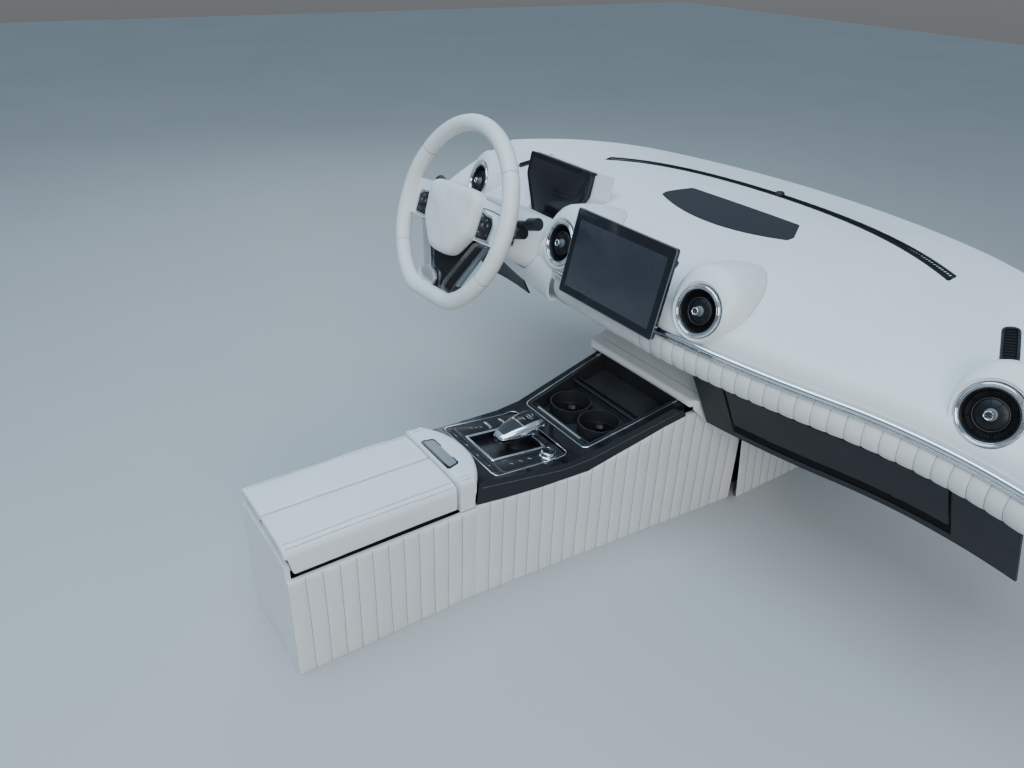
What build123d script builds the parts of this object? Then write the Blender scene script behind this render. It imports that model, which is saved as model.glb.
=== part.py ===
from build123d import *
from math import asin, atan2, cos, degrees, radians, sin, sqrt, tan
import os

# Car dashboard with steering wheel, displays, air vents and centre console.
# Millimetres. X points to the car's right, Y forward, Z up. The origin is the centre of the
# foot plate's bolts on the floor tunnel, midway between the sides.

os.makedirs("parts", exist_ok=True)

# Clearances
SEAT = 0.3              # gap at a seat within the assembly
SHUT = 5.0              # shut line round a moving panel
PIN_PLAY = 0.08         # radial play of a pin in its knuckle

# Line of the dash face in plan: a centre arc, and an end arc that turns back towards each door
FACE_Y = -262.0         # the chrome strip's face on the centreline
CENTRE_R = 1700.0       # radius of the centre arc
CENTRE_HALF = 430.0     # half width of the centre arc
END_R = 650.0           # radius of the end arcs
DASH_HALF = 705.0       # half width of the dashboard
END_SWEEP = 26.0        # angle swept by an end arc before the sides are trimmed
FRONT_R = 1100.0        # plan radius of the edge under the windscreen
FRONT_Y = 265.0         # that edge on the centreline

# Section of the pad, as depth forward of the face line and height
PAD_WALL = 8.0
PAD_FOOT_Z = 441.0      # lower edge, on the chrome strip
PAD_FOOT_D = 7.5
PAD_NOSE_R = 36.0       # rounding above the strip
PAD_SLOPE = 30.0        # angle of the face above the rounding
PAD_CREST_D = 404.0
PAD_CREST_Z = 575.0
PAD_DEEP = 760.0        # section is drawn past the windscreen edge and trimmed there
PAD_DROOP = 12.0        # fall from the crest to there
SKIN = 3.0              # depth of an insert set flush in the pad

# Chrome strip and pleated band
STRIP_Z = 424.0         # lower edge of the strip
STRIP_TALL = PAD_FOOT_Z - STRIP_Z - SEAT
STRIP_PROUD = 4.0
BAND_FOOT_Z = 374.0
BAND_WALL = 8.0
BAND_BULGE = 5.0
BAND_RUN = 62.0         # how far the band rolls in under the dash
BAND_PITCH = 25.0       # spacing of the pleats
PLEAT_DEEP = 2.2
PLEAT_WIDE = 5.0

# Steering
WHEEL_X = -331.0
WHEEL_Y = -389.0
WHEEL_Z = 531.0
COLUMN_RAKE = 21.1      # fall of the column below level
WHEEL_R = 189.0
GRIP_R = 16.0
WHEEL_FLAT = 161.0      # the rim's centre line at the flattened foot
WHEEL_FLAT_R = 70.0
WHEEL_TURN = 3.0        # the wheel rests turned this far
TUBE_R = 25.0
TUBE_WALL = 2.5
TUBE_SPAN = (-560.0, -100.0)
# height in the column's frame, width, depth and drop of the shroud's ends
SHROUD_ENDS = ((-78.0, 116.0, 96.0, -2.0), (-200.0, 150.0, 112.0, -10.0))
SHROUD_WEB = -104.0
SHAFT_R = 10.0
SHAFT_END_R = 9.0
SHAFT_TIP = -610.0
SHAFT_PLAY = 0.08
BUSH_LONG = 20.0

# Beam
BEAM_Y = 60.0
BEAM_Z = 430.0
BEAM_R = 30.0
BEAM_WALL = 3.0
BEAM_HALF = 640.0
BEAM_PLATE = 8.0
BEAM_PLATE_Y = 120.0
BEAM_PLATE_Z = 140.0
BEAM_BOLT_Y = 90.0
BEAM_BOLT_Z = 110.0
BEAM_BOLT_R = 4.5
STAY_X = 60.0
STAY_WIDE = 30.0
STAY_DEEP = 40.0
FOOT_THICK = 8.0
FOOT_HALF_X = 110.0
FOOT_Y = (-70.0, 90.0)
FOOT_BOLT_X = 160.0
FOOT_BOLT_Y = 90.0
FOOT_BOLT_R = 5.5
CLIMATE_HALF = 132.0
CLIMATE_Y = (BEAM_Y + STAY_DEEP / 2 + SEAT, 235.0)
CLIMATE_Z = (30.0, 390.0)

# Vents: side, x, y, z, yaw outwards, pitch upwards
VENTS = (
    (1, 181.0, -243.0, 492.0, 3.8, 14.7),
    (-1, 181.0, -243.0, 492.0, 3.8, 14.7),
    (1, 609.0, -156.0, 495.0, 8.9, 17.8),
    (-1, 609.0, -156.0, 495.0, 8.9, 17.8),
)
RING_R = 42.5
RING_WALL = 7.5
RING_TALL = 9.0
CORE_DEEP = 26.0
CORE_WALL = 2.0
VANES = 12
VANE_THICK = 1.6
VENT_KNOB_R = 6.5
VENT_KNOB_LONG = 12.0
POD_RISE = 4.0          # the pod's axis climbs this much towards the windscreen
POD_LIP = 47.0
POD_BELLY = (26.0, 65.0)    # distance behind the ring and radius of the widest place
POD_WAIST = (100.0, 46.0)
POD_TAIL = (165.0, 16.0)
POD_CLEAR = 3.0         # gap left above the chrome strip

# Touch screen
SCREEN_Y = -253.0
SCREEN_Z = 499.0
SCREEN_WIDE = 250.0
SCREEN_TALL = 157.0
SCREEN_TILT = 13.4
SCREEN_THICK = 11.0
SCREEN_CORNER = 5.0
GLASS_INSET = 1.2
GLASS_THICK = 2.0
SCREEN_STEM_WIDE = 120.0
SCREEN_STEM_TALL = 70.0

# Instrument display
CLUSTER_Y = -146.0
CLUSTER_Z = 540.0
CLUSTER_TILT = 12.5
CLUSTER_HALF = 100.0
CLUSTER_TOP = 61.0
CLUSTER_SHOULDER = 14.0
CLUSTER_FOOT = 62.0
CLUSTER_FOOT_HALF = 52.0
CLUSTER_THICK = 18.0
HOOD_THICK = 42.0
HOOD_RIM = 6.0
HOOD_DROP = 10.0

# Console: half width at each y, where the sides widen towards the dash
CONSOLE_REAR = -922.0
CONSOLE_KINK = -602.0
CONSOLE_FRONT = -14.0
CONSOLE_HALF = 96.0
CONSOLE_SPREAD = 0.0757     # growth of the half width for each mm forward of the kink
SIDE_WALL = 8.0
SIDE_PITCH = 26.0
SIDE_BULGE = 2.0
SIDE_FOOT_TOP = 188.0       # top edge beside the armrest
TUB_WALL = 4.0
TUB_TOP = 178.0
COVER_X = 150.0
COVER_TOP = 200.0
COVER_FRONT = 264.0

# Black top trim: lower edge and upper surface as (y, z)
TRIM_FOOT = (
    (-602, 196), (-548, 192), (-485, 189.5), (-380, 190), (-330, 203), (-269, 218), (-215, 232), (-156, 244),
)
TRIM_TOP = ((-602, 234), (-430, 217.5), (-376, 221), (-160, 270))
TRIM_WALL = 5.0
TRIM_DRAFT = 12.0       # the sides lean in this much
TRIM_DATUM = 189.0

# Selector
PLATE_HALF = 84.0
PLATE_Y = (-560.0, -405.0)
PLATE_THICK = 5.0
WELL_HALF = 40.0
WELL_Y = (-533.0, -429.0)
WELL_DEEP = 14.0
LEVER_Y = -462.0
# sections of the lever's head: place forward of its neck, height over the plate, width and depth
LEVER_HEAD = ((-34.0, 17.0, 30.0, 14.0), (-8.0, 22.0, 46.0, 24.0), (30.0, 27.0, 52.0, 26.0), (52.0, 25.0, 40.0, 14.0))
ROTARY_X = 70.0
ROTARY_Y = -439.0
ROTARY_R = 14.0
ROTARY_TALL = 11.0

# Tray
TRAY_Y = (-368.0, -168.0)
TRAY_HALF = (86.0, 105.0)
TRAY_DEEP = 34.0
TRAY_WALL = 3.0
CUP_Y = (-340.0, -262.0)
CUP_DEEP = 46.0
CUP_R = 37.0

# Bridge housing under the screen
BRIDGE_HALF = 150.0
BRIDGE_WALL = 5.0
BRIDGE_CORNER = 22.0
BRIDGE_TOP = 368.0

# Armrest
LID_HALF = 93.0
LID_Y = (-922.0, -634.0)
LID_TOP = 247.0
LID_THICK = 13.0
LID_SKIRT = 6.0
LID_FOOT = 197.0
LID_SEAM = 1.5
LID_END_GAP = 12.0
HINGE_X = 84.0
HINGE_Z = 204.0
PIN_R = 3.0
KNUCKLE_R = 6.5
KNUCKLE_LONG = 30.0
BIN_HALF = 68.0
BIN_FLOOR = 60.0
BIN_TOP = 184.0
BIN_WALL = 3.0
BIN_Y = (-896.0, -652.0)
REAR_WALL = 8.0
SURROUND_Y = (-630.0, -566.0)
SURROUND_FOOT = 191.0
SURROUND_WALL = 6.0
SURROUND_BOW = 34.0
LATCH_WIDE = 92.0
LATCH_DEEP = 20.0
LATCH_Y = -612.0

# Knee panel and glovebox
KNEE_X = (-486.0, -182.0)
PANEL_X = (158.0, 690.0)
PANEL_WALL = 5.0
PANEL_FOOT_Z = 236.0
PANEL_TOP_Z = BAND_FOOT_Z - 3.6
PANEL_RUN = (44.0, 112.0)   # depth of the panel at its top and foot
BOX_X = (225.0, 585.0)
BOX_Z = (270.0, 352.0)
BOX_BACK_Y = 95.0
BOX_SILL = 14.0
BOX_FLANGE = 13.0
BOX_KNUCKLES = (300.0, 510.0)
BOX_HINGE_Z = 276.0
BOX_HINGE_R = 4.2
BOX_HINGE_BACK = 8.0
BOX_KNUCKLE_R = 10.0
BOX_SWING_R = 24.0
BOX_LOW_GAP = 20.0      # room for the lid's lower edge to swing
BOX_BIB = 34.0          # depth of the strip that closes the view through that gap
BOX_PIN_R = 2.5
LUG_HALF = 5.0
WEB_HALF = 4.0
BOX_WALL = 3.0

# Inserts in the pad
GRILLE_TOP_HALF = 131.0
GRILLE_TOP_Y = 50.0
GRILLE_HALF = 157.0
GRILLE_MID_Y = 4.0
GRILLE_FOOT_Y = -44.0
SLOT_R = FRONT_R - 111.0    # plan radius of the defroster slot's centre line
SLOT_WIDE = 22.0
SLOT_HALF = 410.0
SLOT_SLATS = 30
DEMIST_X = 556.0
DEMIST_Y = -28.0
DEMIST_TURN = 60.0
DEMIST_LONG = 84.0
DEMIST_WIDE = 24.0
DEMIST_SLATS = 8
WINDOW = 0.62           # share of its pitch or width that a grille window takes
SENSOR_R = 9.0
SENSOR_TALL = 7.0
SENSOR_FOOT = PAD_CREST_Z + 0.5

# Stalks: end x, y, z and the root's x and z on the shroud
STALKS = (
    (-218.0, -300.0, 510.0, -290.0, 492.0),
    (-178.0, -296.0, 538.0, -290.0, 508.0),
    (-534.0, -300.0, 533.0, -370.0, 500.0),
)
STALK_R = 7.0
STALK_END = 26.0
STALK_END_R = 12.0


def span_box(x, y, z):
    """Box from its low and high values along X, Y and Z."""
    middle = Pos((x[0] + x[1]) / 2, (y[0] + y[1]) / 2, (z[0] + z[1]) / 2)
    return middle * Box(x[1] - x[0], y[1] - y[0], z[1] - z[0])


def yz_prism(points, x_low, x_high):
    """Prism along X over a closed outline of (y, z) points."""
    face = Plane.YZ * make_face(Polyline(*points, close=True))
    return Pos(x_low, 0, 0) * extrude(face, x_high - x_low, dir=(1, 0, 0))


def xy_prism(points, z_low, z_high):
    """Prism along Z over a closed outline of (x, y) points."""
    face = make_face(Polyline(*points, close=True))
    return Pos(0, 0, z_low) * extrude(face, z_high - z_low, dir=(0, 0, 1))


def both_sides(shape):
    """The shape and its mirror image across the centreline."""
    return [shape, mirror(shape, about=Plane.YZ)]


def rod(start, end, radius):
    """Cylinder between two points."""
    axis = Vector(*end) - Vector(*start)
    return extrude(Plane(origin=start, z_dir=axis) * Circle(radius), axis.length)


def save(name, *shapes):
    """Write one node from its solids."""
    solids = []
    for shape in shapes:
        items = shape if isinstance(shape, (list, tuple)) else [shape]
        for item in items:
            solids.extend(item.solids())
    export_step(Compound(children=solids) if len(solids) > 1 else solids[0], f"parts/{name}.step")


# Dash sections follow the face line

CENTRE_TURN = degrees(asin(CENTRE_HALF / CENTRE_R))
CENTRE_AXIS = Vector(0, FACE_Y + CENTRE_R, 0)
BREAK_POINT = Vector(CENTRE_HALF, CENTRE_AXIS.Y - CENTRE_R * cos(radians(CENTRE_TURN)), 0)
FORWARD = Vector(-sin(radians(CENTRE_TURN)), cos(radians(CENTRE_TURN)), 0)
END_AXIS = BREAK_POINT - FORWARD * END_R


def face_y(x):
    """Y of the face line at a distance x from the centreline."""
    x = abs(x)
    if x <= CENTRE_HALF:
        return CENTRE_AXIS.Y - sqrt(CENTRE_R ** 2 - x ** 2)
    return END_AXIS.Y + sqrt(END_R ** 2 - (x - END_AXIS.X) ** 2)


def dash_plane(turn):
    """Plane across the centre arc, with local X forward and local Y up."""
    forward = Vector(-sin(radians(turn)), cos(radians(turn)), 0)
    origin = CENTRE_AXIS - forward * CENTRE_R
    return Plane(origin=origin, x_dir=forward, z_dir=forward.cross(Vector(0, 0, 1)))


def along_dash(section, half=DASH_HALF):
    """Sweep a section of (depth, height) along the whole face line."""
    centre = revolve(dash_plane(-CENTRE_TURN) * section, Axis(CENTRE_AXIS, (0, 0, 1)), 2 * CENTRE_TURN)
    end = revolve(dash_plane(CENTRE_TURN) * section, Axis(END_AXIS, (0, 0, -1)), END_SWEEP)
    swept = centre + end + mirror(end, about=Plane.YZ)
    return swept & span_box((-half, half), (-900, 1200), (-100, 900))


def pad_section():
    """Filled section of the dash pad."""
    nose_start = 84.0
    nose_d = PAD_NOSE_R * (sin(radians(nose_start)) - sin(radians(PAD_SLOPE)))
    nose_z = PAD_NOSE_R * (cos(radians(PAD_SLOPE)) - cos(radians(nose_start)))
    brow = (PAD_FOOT_D + 0.7 + nose_d, PAD_FOOT_Z + 9.6 + nose_z)
    low = PAD_FOOT_Z - 60
    edges = [
        Line((PAD_FOOT_D, low), (PAD_FOOT_D, PAD_FOOT_Z)),
        Line((PAD_FOOT_D, PAD_FOOT_Z), (PAD_FOOT_D + 0.7, PAD_FOOT_Z + 9.6)),
        RadiusArc((PAD_FOOT_D + 0.7, PAD_FOOT_Z + 9.6), brow, PAD_NOSE_R),
        TangentArc(brow, (PAD_CREST_D, PAD_CREST_Z), tangent=(cos(radians(PAD_SLOPE)), sin(radians(PAD_SLOPE)))),
        Line((PAD_CREST_D, PAD_CREST_Z), (PAD_DEEP, PAD_CREST_Z - PAD_DROOP)),
        Line((PAD_DEEP, PAD_CREST_Z - PAD_DROOP), (PAD_DEEP, low)),
        Line((PAD_DEEP, low), (PAD_FOOT_D, low)),
    ]
    return make_face(edges)


def front_trim(shape):
    """Trim a shape at the curved edge under the windscreen."""
    height = 1000
    return shape & (Pos(0, FRONT_Y - FRONT_R, height / 2) * Cylinder(FRONT_R, height))



# Pad and what is let into it

def grille_plan(gap):
    """Plan outline of the speaker grille, grown by a gap."""
    corners = Polyline((-GRILLE_TOP_HALF, GRILLE_TOP_Y), (GRILLE_TOP_HALF, GRILLE_TOP_Y),
                       (GRILLE_HALF, GRILLE_MID_Y), (GRILLE_HALF - 2, GRILLE_MID_Y - 14))
    belly = ThreePointArc((GRILLE_HALF - 2, GRILLE_MID_Y - 14), (0, GRILLE_FOOT_Y),
                          (-GRILLE_HALF + 2, GRILLE_MID_Y - 14))
    back = Polyline((-GRILLE_HALF + 2, GRILLE_MID_Y - 14), (-GRILLE_HALF, GRILLE_MID_Y),
                    (-GRILLE_TOP_HALF, GRILLE_TOP_Y))
    face = make_face([corners, belly, back])
    return offset(face, gap) if gap else face


def slot_solid(gap):
    """Upright block over the curved defroster slot."""
    outer = Cylinder(SLOT_R + SLOT_WIDE / 2 + gap, 400)
    inner = Cylinder(SLOT_R - SLOT_WIDE / 2 - gap, 400)
    ring = Pos(0, FRONT_Y - FRONT_R, 500) * (outer - inner)
    half = SLOT_HALF + gap
    return ring & span_box((-half, half), (0, 400), (300, 700))


def demister_solid(side, gap):
    """Upright block over one side demister."""
    place = Pos(side * DEMIST_X, DEMIST_Y, 400) * Rot(0, 0, -side * DEMIST_TURN)
    outline = SlotOverall(DEMIST_LONG + 2 * gap, DEMIST_WIDE + 2 * gap)
    return place * extrude(outline, 300)


def make_pad(filled, skin, cutters):
    """Pad shell with recesses for the inserts and openings for what passes through."""
    inner = along_dash(offset(pad_section(), -PAD_WALL))
    floor = span_box((-900, 900), (-900, 1200), (0, PAD_FOOT_Z))
    pad = filled - inner - floor
    recess = Pos(0, 0, 400) * extrude(grille_plan(SEAT), 300)
    pad -= recess & skin
    pad -= slot_solid(SEAT) & skin
    for side in (1, -1):
        pad -= demister_solid(side, SEAT) & skin
    for cutter in cutters:
        pad -= cutter
    return max(pad.solids(), key=lambda solid: solid.volume)


def make_inserts(skin):
    """Speaker grille, slatted defroster grille and side demisters, flush with the pad."""
    speaker = skin & (Pos(0, 0, 400) * extrude(grille_plan(0), 300))
    slot = skin & slot_solid(0)
    pitch = 2 * SLOT_HALF / SLOT_SLATS
    for index in range(SLOT_SLATS):
        x = -SLOT_HALF + pitch * (index + 0.5)
        y = FRONT_Y - FRONT_R + sqrt(SLOT_R ** 2 - x ** 2)
        turn = -degrees(asin(x / SLOT_R))
        slot -= Pos(x, y, PAD_CREST_Z) * Rot(0, 0, turn) * Box(pitch * WINDOW, SLOT_WIDE * WINDOW, 100)
    sides = []
    for side in (1, -1):
        block = skin & demister_solid(side, 0)
        for step in range(DEMIST_SLATS):
            along = (step - (DEMIST_SLATS - 1) / 2) * DEMIST_LONG / (DEMIST_SLATS + 1)
            place = Pos(side * DEMIST_X, DEMIST_Y, PAD_CREST_Z) * Rot(0, 0, -side * DEMIST_TURN) * Pos(along, 0, 0)
            block -= place * Box(DEMIST_LONG / (DEMIST_SLATS + 1) * WINDOW, DEMIST_WIDE * WINDOW, 200)
        sides.append(block)
    return speaker, slot, sides


def make_sensor():
    """Small domed sun sensor on the middle of the defroster grille."""
    y = FRONT_Y - FRONT_R + SLOT_R
    dome = Pos(0, y, SENSOR_FOOT) * Cylinder(SENSOR_R, SENSOR_TALL, align=(Align.CENTER, Align.CENTER, Align.MIN))
    return fillet(dome.edges().sort_by(Axis.Z)[-1:], SENSOR_TALL * 0.6)


def make_strip():
    """Chrome strip: a broad upper bead over a thin lower one."""
    d, low = PAD_FOOT_D, STRIP_Z
    top = low + STRIP_TALL
    step = low + STRIP_TALL * 0.42
    outline = [
        Line((d, low), (d, top)),
        Line((d, top), (d - 3, top)),
        ThreePointArc((d - 3, top), (d - 3 - 2 * STRIP_PROUD, (top + step) / 2), (d - 3, step)),
        Line((d - 3, step), (d - 3, low + 4.6)),
        ThreePointArc((d - 3, low + 4.6), (d - 3 - STRIP_PROUD, low + 2.3), (d - 3, low)),
        Line((d - 3, low), (d, low)),
    ]
    strip = along_dash(make_face(outline))
    return strip - span_box(KNEE_X, (-400, 0), (0, 900))


def band_section():
    """Section of the pleated band: a bulging face that rolls in under the dash."""
    d, top = PAD_FOOT_D, STRIP_Z - SEAT
    foot = BAND_FOOT_Z
    outer = [
        ThreePointArc((d, top), (d - BAND_BULGE, (top + foot + 16) / 2), (d - 1, foot + 14)),
        ThreePointArc((d - 1, foot + 14), (d + 5, foot + 3), (d + 18, foot)),
        Line((d + 18, foot), (d + BAND_RUN, foot - 6)),
    ]
    inner = [
        Line((d + BAND_RUN, foot - 6), (d + BAND_RUN, foot - 6 + BAND_WALL)),
        Line((d + BAND_RUN, foot - 6 + BAND_WALL), (d + 18, foot + BAND_WALL)),
        Line((d + 18, foot + BAND_WALL), (d + BAND_WALL, foot + 16)),
        Line((d + BAND_WALL, foot + 16), (d + BAND_WALL, top)),
        Line((d + BAND_WALL, top), (d, top)),
    ]
    return make_face(outer + inner)


def make_band():
    """Pleated band in two lengths, either side of the knee panel."""
    band = along_dash(band_section())
    grooves = []
    count = int(DASH_HALF // BAND_PITCH)
    for index in range(-count, count + 1):
        x = index * BAND_PITCH
        if KNEE_X[0] - PLEAT_WIDE < x < KNEE_X[1] + PLEAT_WIDE:
            continue
        y = face_y(x) + PAD_FOOT_D - BAND_BULGE
        turn = degrees(atan2(face_y(x + 1) - face_y(x - 1), 2)) if abs(x) > 1 else 0
        tip = (0, PLEAT_DEEP)
        wedge = make_face(Polyline((-PLEAT_WIDE / 2, -8), (PLEAT_WIDE / 2, -8), tip, close=True))
        grooves.append(Pos(x, y, BAND_FOOT_Z + 8) * Rot(0, 0, turn) * extrude(wedge, 60))
    band = band - grooves
    band -= span_box(KNEE_X, (-400, 400), (0, 900))
    return band


# Vents

def vent_plane(vent):
    """Plane of a vent's ring, with local Z out towards the cabin."""
    side, x, y, z, yaw, pitch = vent
    out = Vector(side * sin(radians(yaw)) * cos(radians(pitch)),
                 -cos(radians(yaw)) * cos(radians(pitch)), sin(radians(pitch)))
    across = Vector(0, 0, 1).cross(out)
    return Plane(origin=(side * x, y, z), x_dir=across, z_dir=out)


def make_pod(vent, filled_gap):
    """Round-shouldered pod that grows out of the pad behind a vent and tapers forward."""
    side, x, y, z, yaw, pitch = vent
    (belly, belly_r), (waist, waist_r), (tail, tail_r) = POD_BELLY, POD_WAIST, POD_TAIL
    profile = make_face([
        Line((0, -40), (POD_LIP, -40)),
        Line((POD_LIP, -40), (POD_LIP, 0)),
        ThreePointArc((POD_LIP, 0), (belly_r - 4, belly * 0.36), (belly_r, belly)),
        ThreePointArc((belly_r, belly), ((belly_r + waist_r) / 2 + 1.5, (belly + waist) / 2), (waist_r, waist)),
        ThreePointArc((waist_r, waist), ((waist_r + tail_r) / 2 + 5, (waist + tail) / 2), (tail_r, tail)),
        Line((tail_r, tail), (0, tail)),
        Line((0, tail), (0, -40)),
    ])
    rise = radians(POD_RISE)
    axis = Vector(side * sin(radians(yaw)) * -0.4, cos(rise), sin(rise))
    plane = Plane(origin=(side * x, y, z), x_dir=(1, 0, 0), z_dir=Vector(1, 0, 0).cross(axis) * -1)
    bullet = revolve(plane * profile, Axis((side * x, y, z), plane.y_dir))
    ring = vent_plane(vent)
    proud = ring * (Pos(0, 0, 100 - RING_TALL / 2) * Box(300, 300, 200))
    socket = ring * (Pos(0, 0, -CORE_DEEP - SEAT) * Cylinder(RING_R - RING_WALL + SEAT, 200, align=(Align.CENTER, Align.CENTER, Align.MIN)))
    below = span_box((-900, 900), (-900, 900), (0, PAD_FOOT_Z + POD_CLEAR))
    body = bullet - proud - socket - filled_gap - below
    pieces = [solid for solid in body.solids() if solid.center().Y < y + 120]
    return max(pieces, key=lambda solid: solid.volume)


def vent_clearance(vent):
    """Room that a vent's ring and core need in the pad behind it."""
    base = (Align.CENTER, Align.CENTER, Align.MIN)
    ring = Pos(0, 0, -RING_TALL / 2) * Cylinder(RING_R + 2 * SEAT, 60, align=base)
    core = Pos(0, 0, -CORE_DEEP - SEAT) * Cylinder(RING_R - RING_WALL + SEAT, 60, align=base)
    return vent_plane(vent) * (ring + core)


def make_vent_parts(vent):
    """Chrome ring, louvred core and centre knob of one vent."""
    plane = vent_plane(vent)
    inner = RING_R - RING_WALL
    low = -RING_TALL / 2 + SEAT
    profile = make_face([
        Line((inner, low), (RING_R, low)),
        Line((RING_R, low), (RING_R, low + 2)),
        ThreePointArc((RING_R, low + 2), (RING_R - 2.2, low + 4.2), (RING_R - 4.4, low + 2)),
        Line((RING_R - 4.4, low + 2), (inner, low + 1.2)),
        Line((inner, low + 1.2), (inner, low)),
    ])
    ring = revolve(Plane.XZ * profile, Axis.Z)
    cup = Pos(0, 0, -CORE_DEEP) * Cylinder(inner - SEAT, CORE_DEEP + low, align=(Align.CENTER, Align.CENTER, Align.MIN))
    cup -= Pos(0, 0, -CORE_DEEP + CORE_WALL) * Cylinder(inner - SEAT - CORE_WALL, 60, align=(Align.CENTER, Align.CENTER, Align.MIN))
    stem = Pos(0, 0, -CORE_DEEP) * Cylinder(VENT_KNOB_R + 2, CORE_DEEP - 12, align=(Align.CENTER, Align.CENTER, Align.MIN))
    hoop = Pos(0, 0, -16) * (Cylinder(21, 5) - Cylinder(19, 5))
    core = cup + stem + hoop
    for index in range(VANES):
        blade = Box(inner - SEAT - CORE_WALL - VENT_KNOB_R, VANE_THICK, 9, align=(Align.MIN, Align.CENTER, Align.CENTER))
        core += Rot(0, 0, 360 / VANES * index) * Pos(VENT_KNOB_R, 0, -16) * blade
    knob = Pos(0, 0, -12 + SEAT) * Cylinder(VENT_KNOB_R, VENT_KNOB_LONG, align=(Align.CENTER, Align.CENTER, Align.MIN))
    knob -= Pos(0, 0, VENT_KNOB_LONG - 12 + SEAT - 3) * Cylinder(VENT_KNOB_R - 2.2, 10, align=(Align.CENTER, Align.CENTER, Align.MIN))
    return plane * ring, plane * core, plane * knob


# Displays

def display_plane(x, y, z, tilt):
    """Plane of a display, local Z towards the cabin and local Y up the glass."""
    out = Vector(0, -cos(radians(tilt)), sin(radians(tilt)))
    return Plane(origin=(x, y, z), x_dir=(1, 0, 0), z_dir=out)


def make_touchscreen(filled_gap):
    """Flat screen: frame with a recessed glass, and the stem that carries it on the pad."""
    plane = display_plane(0, SCREEN_Y, SCREEN_Z, SCREEN_TILT)
    outline = RectangleRounded(SCREEN_WIDE, SCREEN_TALL, SCREEN_CORNER)
    pane = RectangleRounded(SCREEN_WIDE - 2 * GLASS_INSET, SCREEN_TALL - 2 * GLASS_INSET, SCREEN_CORNER - GLASS_INSET)
    frame = extrude(outline, SCREEN_THICK)
    frame = chamfer(frame.faces().sort_by(Axis.Z)[0].edges(), 3)
    pocket = Pos(0, 0, SCREEN_THICK - GLASS_THICK) * extrude(offset(pane, 0.1), 10)
    frame -= pocket
    glass = Pos(0, 0, SCREEN_THICK - GLASS_THICK + 0.1) * extrude(pane, GLASS_THICK)
    stem = plane * Pos(0, 4, -SEAT) * extrude(RectangleRounded(SCREEN_STEM_WIDE, SCREEN_STEM_TALL, 12), -120)
    stem = max((stem - filled_gap).solids(), key=lambda solid: -solid.center().Y)
    return plane * frame, plane * glass, stem


def cluster_outline(grow):
    """Six-sided outline of the instrument display, grown by a rim."""
    points = (
        (-CLUSTER_HALF, CLUSTER_TOP), (CLUSTER_HALF, CLUSTER_TOP), (CLUSTER_HALF, CLUSTER_SHOULDER),
        (CLUSTER_FOOT_HALF, -CLUSTER_FOOT), (-CLUSTER_FOOT_HALF, -CLUSTER_FOOT), (-CLUSTER_HALF, CLUSTER_SHOULDER),
    )
    face = make_face(Polyline(*points, close=True))
    face = fillet(face.vertices(), 6)
    return offset(face, grow) if grow else face


def make_cluster(filled_gap):
    """Instrument display and the white hood behind it, which sits in the pad."""
    plane = display_plane(WHEEL_X, CLUSTER_Y, CLUSTER_Z, CLUSTER_TILT)
    screen = plane * Pos(0, 0, -CLUSTER_THICK) * extrude(cluster_outline(0), CLUSTER_THICK)
    hood = Pos(0, 0, -CLUSTER_THICK - HOOD_THICK) * extrude(cluster_outline(HOOD_RIM), HOOD_THICK + 6)
    hood -= Pos(0, 0, -CLUSTER_THICK - SEAT) * extrude(cluster_outline(SEAT), 100)
    hood -= Pos(0, CLUSTER_TOP + HOOD_RIM - HOOD_DROP + 100, -20) * Box(400, 200, 200)
    hood = plane * hood
    pocket = plane * Pos(0, 0, -CLUSTER_THICK - HOOD_THICK - SEAT) * extrude(cluster_outline(HOOD_RIM + SEAT), 200)
    return screen, hood, pocket


# Steering

def wheel_plane():
    """Plane of the steering wheel, local Z towards the driver and local Y up the wheel."""
    rake = radians(COLUMN_RAKE)
    out = Vector(0, -cos(rake), sin(rake))
    return Plane(origin=(WHEEL_X, WHEEL_Y, WHEEL_Z), x_dir=(1, 0, 0), z_dir=out)


def rim_line():
    """Centre line of the rim: a circle with a slightly flattened foot."""
    radius = WHEEL_R - GRIP_R
    disc = Circle(radius) & (Pos(0, 200 - WHEEL_FLAT, 0) * Rectangle(500, 400))
    disc = fillet(disc.vertices(), WHEEL_FLAT_R)
    return disc.faces()[0].outer_wire()


def make_rim(grow=0.0):
    """Padded rim in the wheel's own plane."""
    line = rim_line()
    start = line @ 0
    along = line % 0
    return sweep(Plane(origin=start, z_dir=along) * Circle(GRIP_R + grow), path=line)


def mirrored(points):
    """Outline that is completed by its mirror image in the wheel's upright."""
    return list(points) + [(-x, y) for x, y in reversed(points)]


def wheel_slab(points, low, high):
    """Slab between two heights over an outline in the wheel's plane."""
    return xy_prism(points, low, high)


def hub_outline(gap):
    """Outline of the hub cover, grown by a gap."""
    right = ((40, 56 + gap), (78 + gap, 50 + gap), (84 + gap, 20), (80 + gap, -30 - gap), (38, -76 - gap))
    return mirrored(right)


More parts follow.
